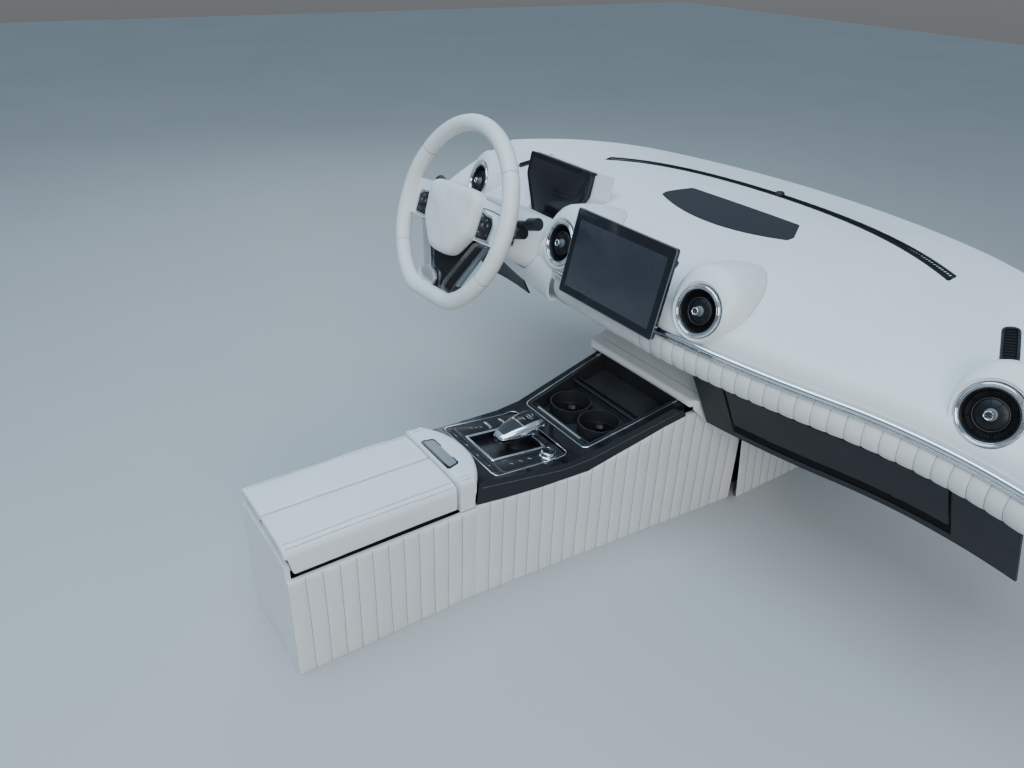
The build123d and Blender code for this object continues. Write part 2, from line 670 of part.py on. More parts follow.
def make_wheel():
    """Steering wheel pieces in the wheel's plane."""
    rim = make_rim()
    clear = make_rim(SEAT)
    hub = Pos(0, 0, -62) * Cylinder(30, 36, align=(Align.CENTER, Align.CENTER, Align.MIN))
    plate = wheel_slab(mirrored(((60, 26), (172, 18), (172, -16), (118, -24), (58, -128), (52, -166))), -26, -18)
    armature = hub + plate
    base = (Align.CENTER, Align.CENTER, Align.MIN)
    shaft_foot = TUBE_SPAN[0] - 2
    armature += Pos(0, 0, shaft_foot) * Cylinder(SHAFT_R, -shaft_foot - 60, align=base)
    armature += Pos(0, 0, SHAFT_TIP) * Cylinder(SHAFT_END_R, shaft_foot - SHAFT_TIP, align=base)
    window = wheel_slab(((-34, -84), (34, -84), (22, -118), (-22, -118)), -40, 0)
    armature = armature - window - clear
    cover = wheel_slab(hub_outline(0), -18 + SEAT, 18)
    cover = fillet(cover.edges().filter_by(Axis.Z), 12)
    cover = fillet(cover.faces().sort_by(Axis.Z)[-1].edges(), 14)
    grown = wheel_slab(hub_outline(SEAT), -30, 30)
    arms, packs, frames = [], [], []
    for side in (1, -1):
        arm = wheel_slab([(side * x, y) for x, y in ((70, 46), (170, 40), (170, -30), (78, -32))], -18 + SEAT, -4)
        pocket = [(side * x, y) for x, y in ((89, 28), (132, 15), (132, -26), (87, -28))]
        frame = wheel_slab(pocket, -10, -1)
        inside = offset(make_face(Polyline(*pocket, close=True)), -3)
        cut = Pos(0, 0, -10 - SEAT) * extrude(offset(make_face(Polyline(*pocket, close=True)), SEAT), 30)
        arms.append(arm - grown - cut - clear)
        frames.append(frame - Pos(0, 0, -8) * extrude(inside, 20))
        packs.append(Pos(0, 0, -8 + SEAT) * extrude(offset(inside, -SEAT), 8.5))
    leg = ((116, -34), (84, -36), (30, -124), (22, -146), (54, -150), (60, -128))
    legs = [wheel_slab([(side * x, y) for x, y in leg], -18 + SEAT, -9) - clear for side in (1, -1)]
    legs = [item - grown for item in legs]
    infill = wheel_slab(((-29.5, -124.5), (-48, -94), (48, -94), (29.5, -124.5), (22, -143), (-22, -143)), -18 + SEAT, -14)
    infill = infill - grown - clear
    return rim, armature, cover, arms, packs, frames, legs, infill


def make_column():
    """Column tube with its two bushes, the shroud halves and the stalks."""
    low, high = TUBE_SPAN
    tube = Pos(0, 0, low) * Cylinder(TUBE_R, high - low, align=(Align.CENTER, Align.CENTER, Align.MIN))
    tube -= Pos(0, 0, low) * Cylinder(TUBE_R - TUBE_WALL, high - low, align=(Align.CENTER, Align.CENTER, Align.MIN))
    for foot in (low, high - BUSH_LONG):
        bush = Pos(0, 0, foot) * Cylinder(TUBE_R - TUBE_WALL, BUSH_LONG, align=(Align.CENTER, Align.CENTER, Align.MIN))
        tube += bush - Pos(0, 0, foot) * Cylinder(SHAFT_R + SHAFT_PLAY, BUSH_LONG, align=(Align.CENTER, Align.CENTER, Align.MIN))
    return tube


def shroud_block(grow):
    """Filled shroud body round the column, grown by an amount."""
    sections = []
    for height, wide, deep, drop in SHROUD_ENDS:
        sections.append(Pos(0, drop, height) * RectangleRounded(wide + 2 * grow, deep + 2 * grow, 26 + grow))
    return loft(sections)


def make_shroud():
    """Upper and lower halves of the column shroud, open at both ends."""
    body = shroud_block(0) - shroud_block(-4)
    web = shroud_block(0) & (Pos(0, 0, SHROUD_WEB) * Box(400, 400, 4))
    body += web - Pos(0, 0, SHROUD_WEB) * Cylinder(TUBE_R + SEAT, 10)
    upper = body & (Pos(0, 200 + SEAT / 2, -150) * Box(400, 400, 400))
    lower = body & (Pos(0, -200 - SEAT / 2, -150) * Box(400, 400, 400))
    return upper, lower


def make_stalks():
    """Two stalks on the right of the column and one on the left, each with a thicker end."""
    shroud = wheel_plane() * shroud_block(SEAT)
    stalks = []
    for x, y, z, root_x, root_z in STALKS:
        start = Vector(root_x, y - 12, root_z)
        end = Vector(x, y, z)
        along = (end - start).normalized()
        body = rod(start, end, STALK_R) + rod(end - along * STALK_END, end, STALK_END_R) - shroud
        stalks.append(max(body.solids(), key=lambda solid: solid.volume))
    return stalks


# Console

def side_x(y, inset=0.0):
    """Half width of the console's side at a place along it."""
    return CONSOLE_HALF + max(0.0, y - CONSOLE_KINK) * CONSOLE_SPREAD - inset


def console_plan(inset, rear, front):
    """Plan outline of the console, set in by an amount, between two places."""
    right = [(side_x(rear, inset), rear)]
    if rear < CONSOLE_KINK < front:
        right.append((side_x(CONSOLE_KINK, inset), CONSOLE_KINK))
    right.append((side_x(front, inset), front))
    return right + [(-x, y) for x, y in reversed(right)]


def side_profile(gap=0.0):
    """Outline of a side panel, lowered at its top edge by a gap, as (y, z)."""
    upper = [(y, z - gap) for y, z in TRIM_FOOT]
    last = upper[-1][1]
    return ([(CONSOLE_REAR, 0), (CONSOLE_REAR, SIDE_FOOT_TOP - gap), (TRIM_FOOT[0][0], SIDE_FOOT_TOP - gap)]
            + upper + [(CONSOLE_FRONT, last), (CONSOLE_FRONT, 0)])


def pleated_run(points, wall, bulge, pitch):
    """Plan face of a pleated panel along forward-running points, bulging outwards."""
    edges = []
    for start, end in zip(points, points[1:]):
        run = Vector(end[0] - start[0], end[1] - start[1], 0)
        count = max(1, round(run.length / pitch))
        along = run.normalized()
        out = Vector(along.Y, -along.X, 0)
        for index in range(count):
            low = Vector(*start, 0) + run * (index / count)
            high = Vector(*start, 0) + run * ((index + 1) / count)
            edges.append(ThreePointArc(low, (low + high) / 2 + out * bulge, high))
    back = [(x - wall, y) for x, y in reversed(points)]
    edges.append(Polyline(points[-1], *back, points[0]))
    return make_face(edges)


def make_side_panels():
    """Pleated leather sides of the console."""
    points = [(side_x(y), y) for y in (CONSOLE_REAR, CONSOLE_KINK, CONSOLE_FRONT)]
    face = pleated_run(points, SIDE_WALL, SIDE_BULGE, SIDE_PITCH)
    panel = extrude(face, 300, dir=(0, 0, 1)) & yz_prism(side_profile(SEAT), 0, 300)
    return both_sides(panel)


def make_covers():
    """Pleated covers beside the climate unit, forward of the console."""
    points = [(COVER_X, CONSOLE_FRONT - 2), (COVER_X, COVER_FRONT)]
    face = pleated_run(points, SIDE_WALL, SIDE_BULGE, SIDE_PITCH)
    outline = ((2, 0), (-16, 148), (14, COVER_TOP + 2), (COVER_FRONT, COVER_TOP + 2), (COVER_FRONT, 0))
    cover = extrude(face, 300, dir=(0, 0, 1)) & yz_prism(outline, 0, 300)
    cover -= bridge_block(SEAT)
    web = span_box((CLIMATE_HALF + SEAT, COVER_X - SIDE_WALL), (110, 220), (60, 160))
    return both_sides(cover + web)


def make_tub():
    """Open tub that carries the console's panels, trim and bin."""
    skin = SIDE_WALL + SEAT
    outer = xy_prism(console_plan(skin, CONSOLE_REAR + REAR_WALL + SEAT, FOOT_Y[0] - SEAT), 0, TUB_TOP)
    inner = xy_prism(console_plan(skin + TUB_WALL, CONSOLE_REAR + REAR_WALL + SEAT + TUB_WALL, FOOT_Y[0] + 10), TUB_WALL, 400)
    return outer - inner


def make_rear_wall():
    """Rear end of the console, with the rear bosses of the hinge pins."""
    wall = span_box((-side_x(CONSOLE_REAR, SIDE_WALL + SEAT), side_x(CONSOLE_REAR, SIDE_WALL + SEAT)),
                    (CONSOLE_REAR, CONSOLE_REAR + REAR_WALL), (0, HINGE_Z + KNUCKLE_R + 2))
    for x in (-HINGE_X, HINGE_X):
        wall -= rod((x, CONSOLE_REAR - 5, HINGE_Z), (x, CONSOLE_REAR + REAR_WALL + 5, HINGE_Z), PIN_R)
    return wall


def make_bin():
    """Armrest bin, hung by its flange on the tub."""
    low, high = BIN_Y
    outer = span_box((-BIN_HALF, BIN_HALF), (low, high), (BIN_FLOOR, BIN_TOP))
    inner = span_box((-BIN_HALF + BIN_WALL, BIN_HALF - BIN_WALL), (low + BIN_WALL, high - BIN_WALL),
                     (BIN_FLOOR + BIN_WALL, BIN_TOP + 50))
    edge = side_x(CONSOLE_REAR, SIDE_WALL + SEAT)
    flange = span_box((-edge, edge), (low - 6, high + 6), (TUB_TOP + SEAT, BIN_TOP))
    return outer + flange - inner


def trim_plan(inset):
    """Plan outline of the trim at its datum height, wide enough that its drafted sides meet the panels."""
    right = []
    for index in (0, 3, len(TRIM_FOOT) - 1):
        y, z = TRIM_FOOT[index]
        right.append((side_x(y, inset) + (z - TRIM_DATUM) * tan(radians(TRIM_DRAFT)), y))
    return right + [(-x, y) for x, y in reversed(right)]


def trim_block(inset, drop):
    """Filled body of the top trim, set in at its sides and lowered at its top."""
    top = [(y, z - drop) for y, z in TRIM_TOP]
    outline = [top[0]] + list(TRIM_FOOT) + [top[-1]] + top[-2:0:-1]
    sides = extrude(make_face(Polyline(*trim_plan(inset), close=True)), 120, taper=TRIM_DRAFT)
    return yz_prism(outline, -200, 200) & (Pos(0, 0, TRIM_DATUM) * sides)


def make_trim():
    """Piano-black trim: a shell with openings for the selector plate and the tray."""
    rear, front = TRIM_FOOT[0][0], TRIM_FOOT[-1][0]
    shell = trim_block(0, 0)
    below = [(y, z - TRIM_WALL) for y, z in TRIM_TOP]
    outline = [(rear - 5, 150), (rear - 5, below[0][1])] + below[1:-1] + [(front + 5, below[-1][1]), (front + 5, 150)]
    inner = xy_prism(console_plan(SIDE_WALL, rear - 5, front + 5), 0, 400)
    shell -= yz_prism(outline, -200, 200) & inner
    plate = span_box((-PLATE_HALF - SEAT, PLATE_HALF + SEAT), (PLATE_Y[0] - SEAT, PLATE_Y[1] + SEAT), (100, 400))
    tray = xy_prism(tray_plan(-SEAT), 100, 400)
    return shell - plate - tray


def top_z(y):
    """Height of the trim's upper surface at a place along the console."""
    for (y0, z0), (y1, z1) in zip(TRIM_TOP, TRIM_TOP[1:]):
        if y <= y1:
            return z0 + (z1 - z0) * (y - y0) / (y1 - y0)
    return TRIM_TOP[-1][1]


def plate_place(x, y, lift=0.0):
    """Location on the selector plate's sloping surface."""
    slope = degrees(atan2(TRIM_TOP[1][1] - TRIM_TOP[0][1], TRIM_TOP[1][0] - TRIM_TOP[0][0]))
    return Pos(x, y, top_z(y) + lift) * Rot(slope, 0, 0)


def make_selector():
    """Selector plate with its well and rim, the lever, the rotary knob and the buttons."""
    middle = (PLATE_Y[0] + PLATE_Y[1]) / 2
    length = PLATE_Y[1] - PLATE_Y[0]
    base = plate_place(0, middle)
    plate = base * Pos(0, 0, -PLATE_THICK / 2) * Box(2 * PLATE_HALF, length, PLATE_THICK)
    well_middle = (WELL_Y[0] + WELL_Y[1]) / 2 - middle
    well_long = WELL_Y[1] - WELL_Y[0]
    plate += base * Pos(0, well_middle, -WELL_DEEP / 2 - 2) * Box(2 * WELL_HALF + 8, well_long + 8, WELL_DEEP)
    plate -= base * Pos(0, well_middle, 0) * Box(2 * WELL_HALF, well_long, 2 * WELL_DEEP - 4)
    lever = make_lever()
    rotary = plate_place(ROTARY_X, ROTARY_Y, SEAT) * Cylinder(ROTARY_R, ROTARY_TALL, align=(Align.CENTER, Align.CENTER, Align.MIN))
    rotary = chamfer(rotary.edges().sort_by(Axis.Z)[-1:], 2)
    return plate, lever, rotary


def make_lever():
    """Selector lever: a neck in the well and a head that leans forward."""
    foot = plate_place(0, LEVER_Y, -WELL_DEEP + 2 + SEAT)
    neck = foot * Cylinder(13, 26, align=(Align.CENTER, Align.CENTER, Align.MIN))
    sections = []
    for along, lift, wide, tall in LEVER_HEAD:
        plane = Plane(origin=(0, LEVER_Y + along, top_z(LEVER_Y) + lift), x_dir=(1, 0, 0), z_dir=(0, -1, 0))
        sections.append(plane * RectangleRounded(wide, tall, tall * 0.42))
    head = loft(sections)
    return neck + head


def make_buttons():
    """Row of buttons behind the selector and the pair of toggles beside it."""
    buttons = []
    for index in range(4):
        x = -57 + 38 * index
        buttons.append(plate_place(x, PLATE_Y[0] + 9, SEAT) * Pos(0, 0, 1) * Box(33, 10, 2))
    for side, y in ((-1, -478.0), (-1, -448.0)):
        buttons.append(plate_place(side * 62, y, SEAT) * Pos(0, 0, 2) * Box(22, 9, 4))
    return buttons


def tray_plan(inset):
    """Plan outline of the tray."""
    (low, high), (narrow, wide) = TRAY_Y, TRAY_HALF
    right = [(narrow - inset, low + inset), (wide - inset, high - inset)]
    return right + [(-x, y) for x, y in reversed(right)]


def tray_body(inset, deep):
    """Body under the tray's sloping opening, set in by an amount and with its floor at a depth."""
    top = [(y, top_z(y)) for y in (TRAY_Y[0], TRAY_Y[1])]
    outline = top + [(TRAY_Y[1], top[1][1] - deep), (TRAY_Y[0], top[0][1] - deep)]
    return yz_prism(outline, -200, 200) & xy_prism(tray_plan(inset), 0, 400)


def make_tray():
    """Dark tray with a sunken cup holder and a bar across its rear end."""
    body = tray_body(0, TRAY_DEEP) - (tray_body(TRAY_WALL, TRAY_DEEP - TRAY_WALL))
    floor_z = top_z(CUP_Y[0]) - TRAY_DEEP
    cups = []
    for x in (-42.0, 42.0):
        well = Pos(x, (CUP_Y[0] + CUP_Y[1]) / 2, floor_z - 12)
        cups.append(well * Cylinder(CUP_R + 3, CUP_DEEP, align=(Align.CENTER, Align.CENTER, Align.MIN)))
    for cup in cups:
        body += cup & tray_body(0.0, 200)
    for x in (-42.0, 42.0):
        well = Pos(x, (CUP_Y[0] + CUP_Y[1]) / 2, floor_z - 12 + 3)
        body -= well * Cylinder(CUP_R, 200, align=(Align.CENTER, Align.CENTER, Align.MIN))
    keep = yz_prism([(TRAY_Y[0], 100), (TRAY_Y[0], top_z(TRAY_Y[0])), (TRAY_Y[1], top_z(TRAY_Y[1])), (TRAY_Y[1], 100)], -200, 200)
    return body & keep


def make_surround():
    """Leather-covered block between the armrest lids and the black trim, with a bowed front."""
    low, high = SURROUND_Y
    half = LID_HALF
    outline = make_face([
        Line((-half, low), (half, low)),
        Line((half, low), (half, high - SURROUND_BOW)),
        ThreePointArc((half, high - SURROUND_BOW), (0, high), (-half, high - SURROUND_BOW)),
        Line((-half, high - SURROUND_BOW), (-half, low)),
    ])
    block = Pos(0, 0, SURROUND_FOOT) * extrude(outline, LID_TOP - SURROUND_FOOT)
    block = fillet(block.faces().sort_by(Axis.Z)[-1].edges().filter_by(lambda edge: edge.center().Y > low + 1), 8)
    inner = Pos(0, 0, SURROUND_FOOT) * extrude(offset(outline, -SURROUND_WALL), LID_TOP - SURROUND_FOOT - SURROUND_WALL)
    block -= inner
    block -= Pos(0, -SEAT, 0) * trim_block(-SEAT, -SEAT)
    block -= span_box((-200, 200), (TRIM_FOOT[0][0] - SEAT, 0), (0, TRIM_TOP[0][1] - 15))
    seat = span_box((-LATCH_WIDE / 2 - SEAT, LATCH_WIDE / 2 + SEAT), (LATCH_Y - LATCH_DEEP / 2 - SEAT, LATCH_Y + LATCH_DEEP / 2 + SEAT),
                    (LID_TOP - 3 - SEAT, 400))
    block -= seat
    for x in (-HINGE_X, HINGE_X):
        block -= rod((x, low - 5, HINGE_Z), (x, low + SURROUND_WALL + 1, HINGE_Z), PIN_R)
    latch = span_box((-LATCH_WIDE / 2, LATCH_WIDE / 2), (LATCH_Y - LATCH_DEEP / 2, LATCH_Y + LATCH_DEEP / 2), (LID_TOP - 3, LID_TOP + 1.5))
    return max(block.solids(), key=lambda solid: solid.volume), chamfer(latch.faces().sort_by(Axis.Z)[-1].edges(), 1)


def make_pins():
    """Hinge pins of the two lids, held at both ends."""
    start, end = CONSOLE_REAR + 1, SURROUND_Y[0] + SURROUND_WALL - 1
    return [rod((x, start, HINGE_Z), (x, end, HINGE_Z), PIN_R) for x in (-HINGE_X, HINGE_X)]


def make_lid():
    """Right armrest lid: crowned top, skirt and two knuckles on the hinge pin."""
    low, high = LID_Y
    top = make_face([
        Line((LID_SEAM, LID_TOP - LID_THICK), (LID_SEAM, LID_TOP)),
        ThreePointArc((LID_SEAM, LID_TOP), (LID_HALF * 0.6, LID_TOP - 0.6), (LID_HALF - 9, LID_TOP - 3)),
        ThreePointArc((LID_HALF - 9, LID_TOP - 3), (LID_HALF - 2.4, LID_TOP - 6.2), (LID_HALF, LID_TOP - 13)),
        Line((LID_HALF, LID_TOP - 13), (LID_HALF, LID_TOP - LID_THICK - 1)),
        Line((LID_HALF, LID_TOP - LID_THICK - 1), (LID_HALF - 1, LID_TOP - LID_THICK - 1)),
        Line((LID_HALF - 1, LID_TOP - LID_THICK - 1), (LID_HALF - 1, LID_TOP - LID_THICK)),
        Line((LID_HALF - 1, LID_TOP - LID_THICK), (LID_SEAM, LID_TOP - LID_THICK)),
    ])
    cap = extrude(Plane.XZ * top, high - low, dir=(0, 1, 0))
    cap = Pos(0, low, 0) * cap
    skirt = span_box((LID_HALF - LID_SKIRT, LID_HALF), (low + LID_END_GAP, high - 4), (LID_FOOT, LID_TOP - LID_THICK + 1))
    lid = cap + skirt
    for y in (low + 40, high - 40 - KNUCKLE_LONG):
        lid += rod((HINGE_X, y, HINGE_Z), (HINGE_X, y + KNUCKLE_LONG, HINGE_Z), KNUCKLE_R)
        lid -= rod((HINGE_X, y - 1, HINGE_Z), (HINGE_X, y + KNUCKLE_LONG + 1, HINGE_Z), PIN_R + PIN_PLAY)
    return lid


# Bridge housing, structure, knee panel and glovebox

def bridge_block(grow=0.0):
    """Filled bridge housing, grown by a gap."""
    outline = [
        Polyline((-95, BRIDGE_TOP), (110, BRIDGE_TOP), (60, 262), (6, 162), (-7, 149), (-55, 168), (-104, 201), (-172, 268)),
        ThreePointArc((-172, 268), (-178, 277), (-170, 284)),
        ThreePointArc((-170, 284), (-118, 303), (-95, BRIDGE_TOP)),
    ]
    face = make_face(outline)
    face = Plane.YZ * (offset(face, grow) if grow else face)
    half = BRIDGE_HALF + grow
    block = Pos(-half, 0, 0) * extrude(face, 2 * half, dir=(1, 0, 0))
    plan = Pos(0, 400 - 178 - grow, 0) * RectangleRounded(2 * half, 800, BRIDGE_CORNER)
    return block & extrude(plan, 500)


def make_bridge():
    """White housing that joins the dash to the console, with a hollow face under the screen."""
    half = BRIDGE_HALF - BRIDGE_WALL
    inside = ((-174, 100), (-174, 270), (-160, 276), (-112, 296), (-97, 315), (-89, 345), (-89, 500), (200, 500), (200, 100))
    return bridge_block() - yz_prism(inside, -half, half)


def make_beam():
    """Cross-car beam, its end plates, the two stays and the foot plate on the tunnel."""
    tube = rod((-BEAM_HALF, BEAM_Y, BEAM_Z), (BEAM_HALF, BEAM_Y, BEAM_Z), BEAM_R)
    tube -= rod((-BEAM_HALF - 1, BEAM_Y, BEAM_Z), (BEAM_HALF + 1, BEAM_Y, BEAM_Z), BEAM_R - BEAM_WALL)
    plates = []
    for side in (1, -1):
        x = sorted((side * (BEAM_HALF + SEAT), side * (BEAM_HALF + SEAT + BEAM_PLATE)))
        plate = span_box(x, (BEAM_Y - BEAM_PLATE_Y / 2, BEAM_Y + BEAM_PLATE_Y / 2),
                         (BEAM_Z - BEAM_PLATE_Z / 2, BEAM_Z + BEAM_PLATE_Z / 2))
        for dy in (-BEAM_BOLT_Y / 2, BEAM_BOLT_Y / 2):
            for dz in (-BEAM_BOLT_Z / 2, BEAM_BOLT_Z / 2):
                plate -= rod((x[0] - 1, BEAM_Y + dy, BEAM_Z + dz), (x[1] + 1, BEAM_Y + dy, BEAM_Z + dz), BEAM_BOLT_R)
        plates.append(plate)
    stays = []
    beam_clear = rod((-BEAM_HALF, BEAM_Y, BEAM_Z), (BEAM_HALF, BEAM_Y, BEAM_Z), BEAM_R + 0.1)
    for x in (-STAY_X, STAY_X):
        stay = span_box((x - STAY_WIDE / 2, x + STAY_WIDE / 2), (BEAM_Y - STAY_DEEP / 2, BEAM_Y + STAY_DEEP / 2),
                        (FOOT_THICK, BEAM_Z))
        stays.append(stay - beam_clear)
    foot = span_box((-FOOT_HALF_X, FOOT_HALF_X), FOOT_Y, (0, FOOT_THICK))
    for x in (-FOOT_BOLT_X / 2, FOOT_BOLT_X / 2):
        for y in (-FOOT_BOLT_Y / 2, FOOT_BOLT_Y / 2):
            foot -= rod((x, y, -1), (x, y, FOOT_THICK + 1), FOOT_BOLT_R)
    return tube, plates, stays, foot, beam_clear


def make_climate():
    """Climate unit as one plain block, forward of the stays."""
    return span_box((-CLIMATE_HALF, CLIMATE_HALF), CLIMATE_Y, CLIMATE_Z)


def make_bracket(beam_clear):
    """Saddle that hangs the column tube from the beam."""
    block = span_box((WHEEL_X - 32, WHEEL_X + 32), (BEAM_Y - 28, BEAM_Y + 28), (335, 415))
    tube = wheel_plane() * (Pos(0, 0, -700) * Cylinder(TUBE_R + 0.1, 700, align=(Align.CENTER, Align.CENTER, Align.MIN)))
    block = block - beam_clear - tube
    return block


def knee_section():
    """Section of the smooth panel under the column."""
    outer = [
        ThreePointArc((7.5, 440.6), (-9, 422), (-13, 396)),
        ThreePointArc((-13, 396), (-8, 379), (10, 372)),
        Line((10, 372), (125, 306)),
    ]
    inner = [
        Line((125, 306), (127.5, 310.3)),
        Line((127.5, 310.3), (12, 377)),
        ThreePointArc((12, 377), (-4, 383), (-8, 396)),
        ThreePointArc((-8, 396), (-4, 420), (13, 437)),
        Line((13, 437), (7.5, 440.6)),
    ]
    return make_face(outer + inner)


def make_knee(cutter):
    """Smooth white panel under the steering column."""
    panel = along_dash(knee_section()) & span_box((KNEE_X[0] + SEAT, KNEE_X[1] - SEAT), (-500, 500), (0, 900))
    return panel - cutter


def panel_depth(z):
    """Depth of the lower panel's cabin side at a height."""
    slope = (PANEL_RUN[1] - PANEL_RUN[0]) / (PANEL_TOP_Z - PANEL_FOOT_Z)
    return PANEL_RUN[0] + (PANEL_TOP_Z - z) * slope


def panel_slab(near, far):
    """Section between two depths behind the lower panel's cabin side."""
    low, high = PANEL_FOOT_Z, PANEL_TOP_Z
    return make_face(Polyline((panel_depth(high) + near, high), (panel_depth(high) + far, high),
                              (panel_depth(low) + far, low), (panel_depth(low) + near, low), close=True))


def make_lower():
    """Dark lower panel with the glovebox opening, the panel left of the knees, and the lid."""
    swept = along_dash(panel_slab(0, PANEL_WALL))
    panel = swept & span_box(PANEL_X, (-500, 600), (0, 900))
    mouth = span_box((BOX_X[0] - SHUT, BOX_X[1] + SHUT), (-500, 600), (BOX_Z[0] - BOX_LOW_GAP, BOX_Z[1] + SHUT))
    left = swept & span_box((-PANEL_X[1], KNEE_X[0] - SHUT), (-500, 600), (0, 900))
    lid = swept & span_box(BOX_X, (-500, 600), BOX_Z)
    for x in BOX_KNUCKLES:
        lid += box_hinge(x, KNUCKLE_LONG / 2, BOX_KNUCKLE_R)
        lid -= box_hinge(x, KNUCKLE_LONG / 2 + 1, BOX_PIN_R + PIN_PLAY)
    return panel - mouth, left, lid


def box_hinge_point(x):
    """Point of the glovebox hinge line at a distance from the centreline."""
    (x0, x1) = BOX_KNUCKLES
    depth = panel_depth(BOX_HINGE_Z) + PANEL_WALL + BOX_HINGE_BACK
    y0, y1 = face_y(x0) + depth, face_y(x1) + depth
    return Vector(x, y0 + (y1 - y0) * (x - x0) / (x1 - x0), BOX_HINGE_Z)


def box_hinge(x, half, radius):
    """Cylinder on the glovebox hinge line."""
    return rod(box_hinge_point(x - half), box_hinge_point(x + half), radius)


def make_box():
    """Glovebox bin with its flange behind the panel and three lugs for the hinge pin."""
    y = (face_y(BOX_X[0]), BOX_BACK_Y)
    x = (BOX_X[0] + 8, BOX_X[1] - 8)
    z = (BOX_Z[0] + BOX_SILL, BOX_Z[1] - 4)
    outer = span_box(x, y, z)
    inner = span_box((x[0] + BOX_WALL, x[1] - BOX_WALL), (y[0] - 5, y[1] - BOX_WALL), (z[0] + BOX_WALL, z[1] - BOX_WALL))
    tub = outer - along_dash(panel_slab(-300, PANEL_WALL + SEAT + BOX_WALL / 2))
    flange = along_dash(panel_slab(PANEL_WALL + SEAT, PANEL_WALL + SEAT + BOX_WALL))
    flange &= span_box((BOX_X[0] - BOX_FLANGE, BOX_X[1] + BOX_FLANGE), (-500, 600), (z[0] + 4, BOX_Z[1] + BOX_FLANGE))
    bib = along_dash(panel_slab(PANEL_WALL + BOX_BIB, PANEL_WALL + BOX_BIB + BOX_WALL))
    bib &= span_box((BOX_X[0] - SHUT, BOX_X[1] + SHUT), (-500, 600), (PANEL_FOOT_Z + SEAT, z[0] + BOX_WALL / 2))
    body = tub + flange + bib - inner
    body -= box_hinge(sum(BOX_X) / 2, (BOX_X[1] - BOX_X[0]) / 2 + SHUT, BOX_SWING_R)
    for middle in BOX_KNUCKLES:
        for step in (-1, 1):
            body += box_lug(middle + step * (KNUCKLE_LONG / 2 + 2 + LUG_HALF), z[0] + 1)
        body -= box_hinge(middle, KNUCKLE_LONG / 2 + 14, BOX_PIN_R)
    return body


def box_lug(x, top):
    """Lug that carries the end of a glovebox pin under the bin's floor."""
    axis = box_hinge_point(x)
    web = span_box((x - WEB_HALF, x + WEB_HALF), (axis.Y, axis.Y + BOX_SWING_R + 8), (axis.Z - 4, top))
    return box_hinge(x, LUG_HALF, BOX_HINGE_R) + web


def make_box_pins():
    """Two pins on the glovebox hinge line."""
    return [box_hinge(x, KNUCKLE_LONG / 2 + 12, BOX_PIN_R) for x in BOX_KNUCKLES]


def build():
    """Make and write every node."""
    filled = front_trim(along_dash(pad_section()))
    core = along_dash(offset(pad_section(), -SKIN))
    filled_gap = along_dash(offset(pad_section(), SEAT))
    skin = filled - core - span_box((-900, 900), (-900, 1200), (0, PAD_FOOT_Z))
    shroud_cut = wheel_plane() * shroud_block(3)
    column_cut = wheel_plane() * (Pos(0, 0, -250) * Cylinder(TUBE_R + 3, 300))
    vent_cuts = [vent_clearance(vent) for vent in VENTS]
    screen, hood, pocket = make_cluster(filled_gap)
    save("dash_pad", make_pad(filled, skin, [shroud_cut, pocket, column_cut] + vent_cuts))
    speaker, slot, sides = make_inserts(skin)
    save("speaker_grille", speaker)
    save("defroster_grille", slot)
    save("side_demisters", sides)
    save("sun_sensor", make_sensor())
    save("chrome_strip", make_strip())
    save("dash_band", make_band())
    save("cluster_screen", screen)
    save("cluster_hood", hood - shroud_cut)
    save("vent_pods", [make_pod(vent, filled_gap) for vent in VENTS])
    parts = [make_vent_parts(vent) for vent in VENTS]
    save("vent_rings", [item[0] for item in parts])
    save("vent_cores", [item[1] for item in parts])
    save("vent_knobs", [item[2] for item in parts])
    frame, glass, stem = make_touchscreen(filled_gap)
    save("touchscreen_frame", frame)
    save("touchscreen_glass", glass)
    save("touchscreen_stem", stem)
    build_steering(shroud_cut)
    build_structure()
    build_console()


def build_steering(shroud_cut):
    """Write the nodes of the wheel and column."""
    turned = wheel_plane().location * Rot(0, 0, WHEEL_TURN)
    still = wheel_plane()
    rim, armature, cover, arms, packs, frames, legs, infill = make_wheel()
    save("wheel_rim", turned * rim)
    save("wheel_armature", turned * armature)
    save("wheel_cover", turned * cover)
    save("wheel_arms", [turned * item for item in arms])
    save("wheel_switches", [turned * item for item in packs])
    save("wheel_switch_frames", [turned * item for item in frames])
    save("wheel_legs", [turned * item for item in legs])
    save("wheel_infill", turned * infill)
    save("column_tube", still * make_column())
    upper, lower = make_shroud()
    save("column_shroud_upper", still * upper)
    save("column_shroud_lower", still * lower)
    save("stalks", make_stalks())
    save("knee_panel", make_knee(shroud_cut))


def build_structure():
    """Write the beam, the stays and what hangs on them."""
    tube, plates, stays, foot, beam_clear = make_beam()
    save("cross_beam", tube)
    save("beam_end_plates", plates)
    save("beam_stays", stays)
    save("tunnel_foot", foot)
    save("column_bracket", make_bracket(beam_clear))
    save("climate_unit", make_climate())
    panel, left, lid = make_lower()
    save("lower_panel", panel)
    save("lower_panel_left", left)
    save("glovebox_lid", lid)
    save("glovebox_bin", make_box())
    save("glovebox_pins", make_box_pins())
    save("bridge_housing", make_bridge())


def build_console():
    """Write the nodes of the console and armrest."""
    save("console_side_panels", make_side_panels())
    save("console_front_covers", make_covers())
    save("console_tub", make_tub())
    save("console_rear_wall", make_rear_wall())
    save("armrest_bin", make_bin())
    save("console_top_trim", make_trim())
    plate, lever, rotary = make_selector()
    save("selector_plate", plate)
    save("selector_lever", lever)
    save("rotary_knob", rotary)
    save("console_buttons", make_buttons())
    save("tray", make_tray())
    surround, latch = make_surround()
    save("armrest_surround", surround)
    save("armrest_latch", latch)
    save("lid_pins", make_pins())
    lid = make_lid()
    save("lid_right", lid)
    save("lid_left", mirror(lid, about=Plane.YZ))


build()
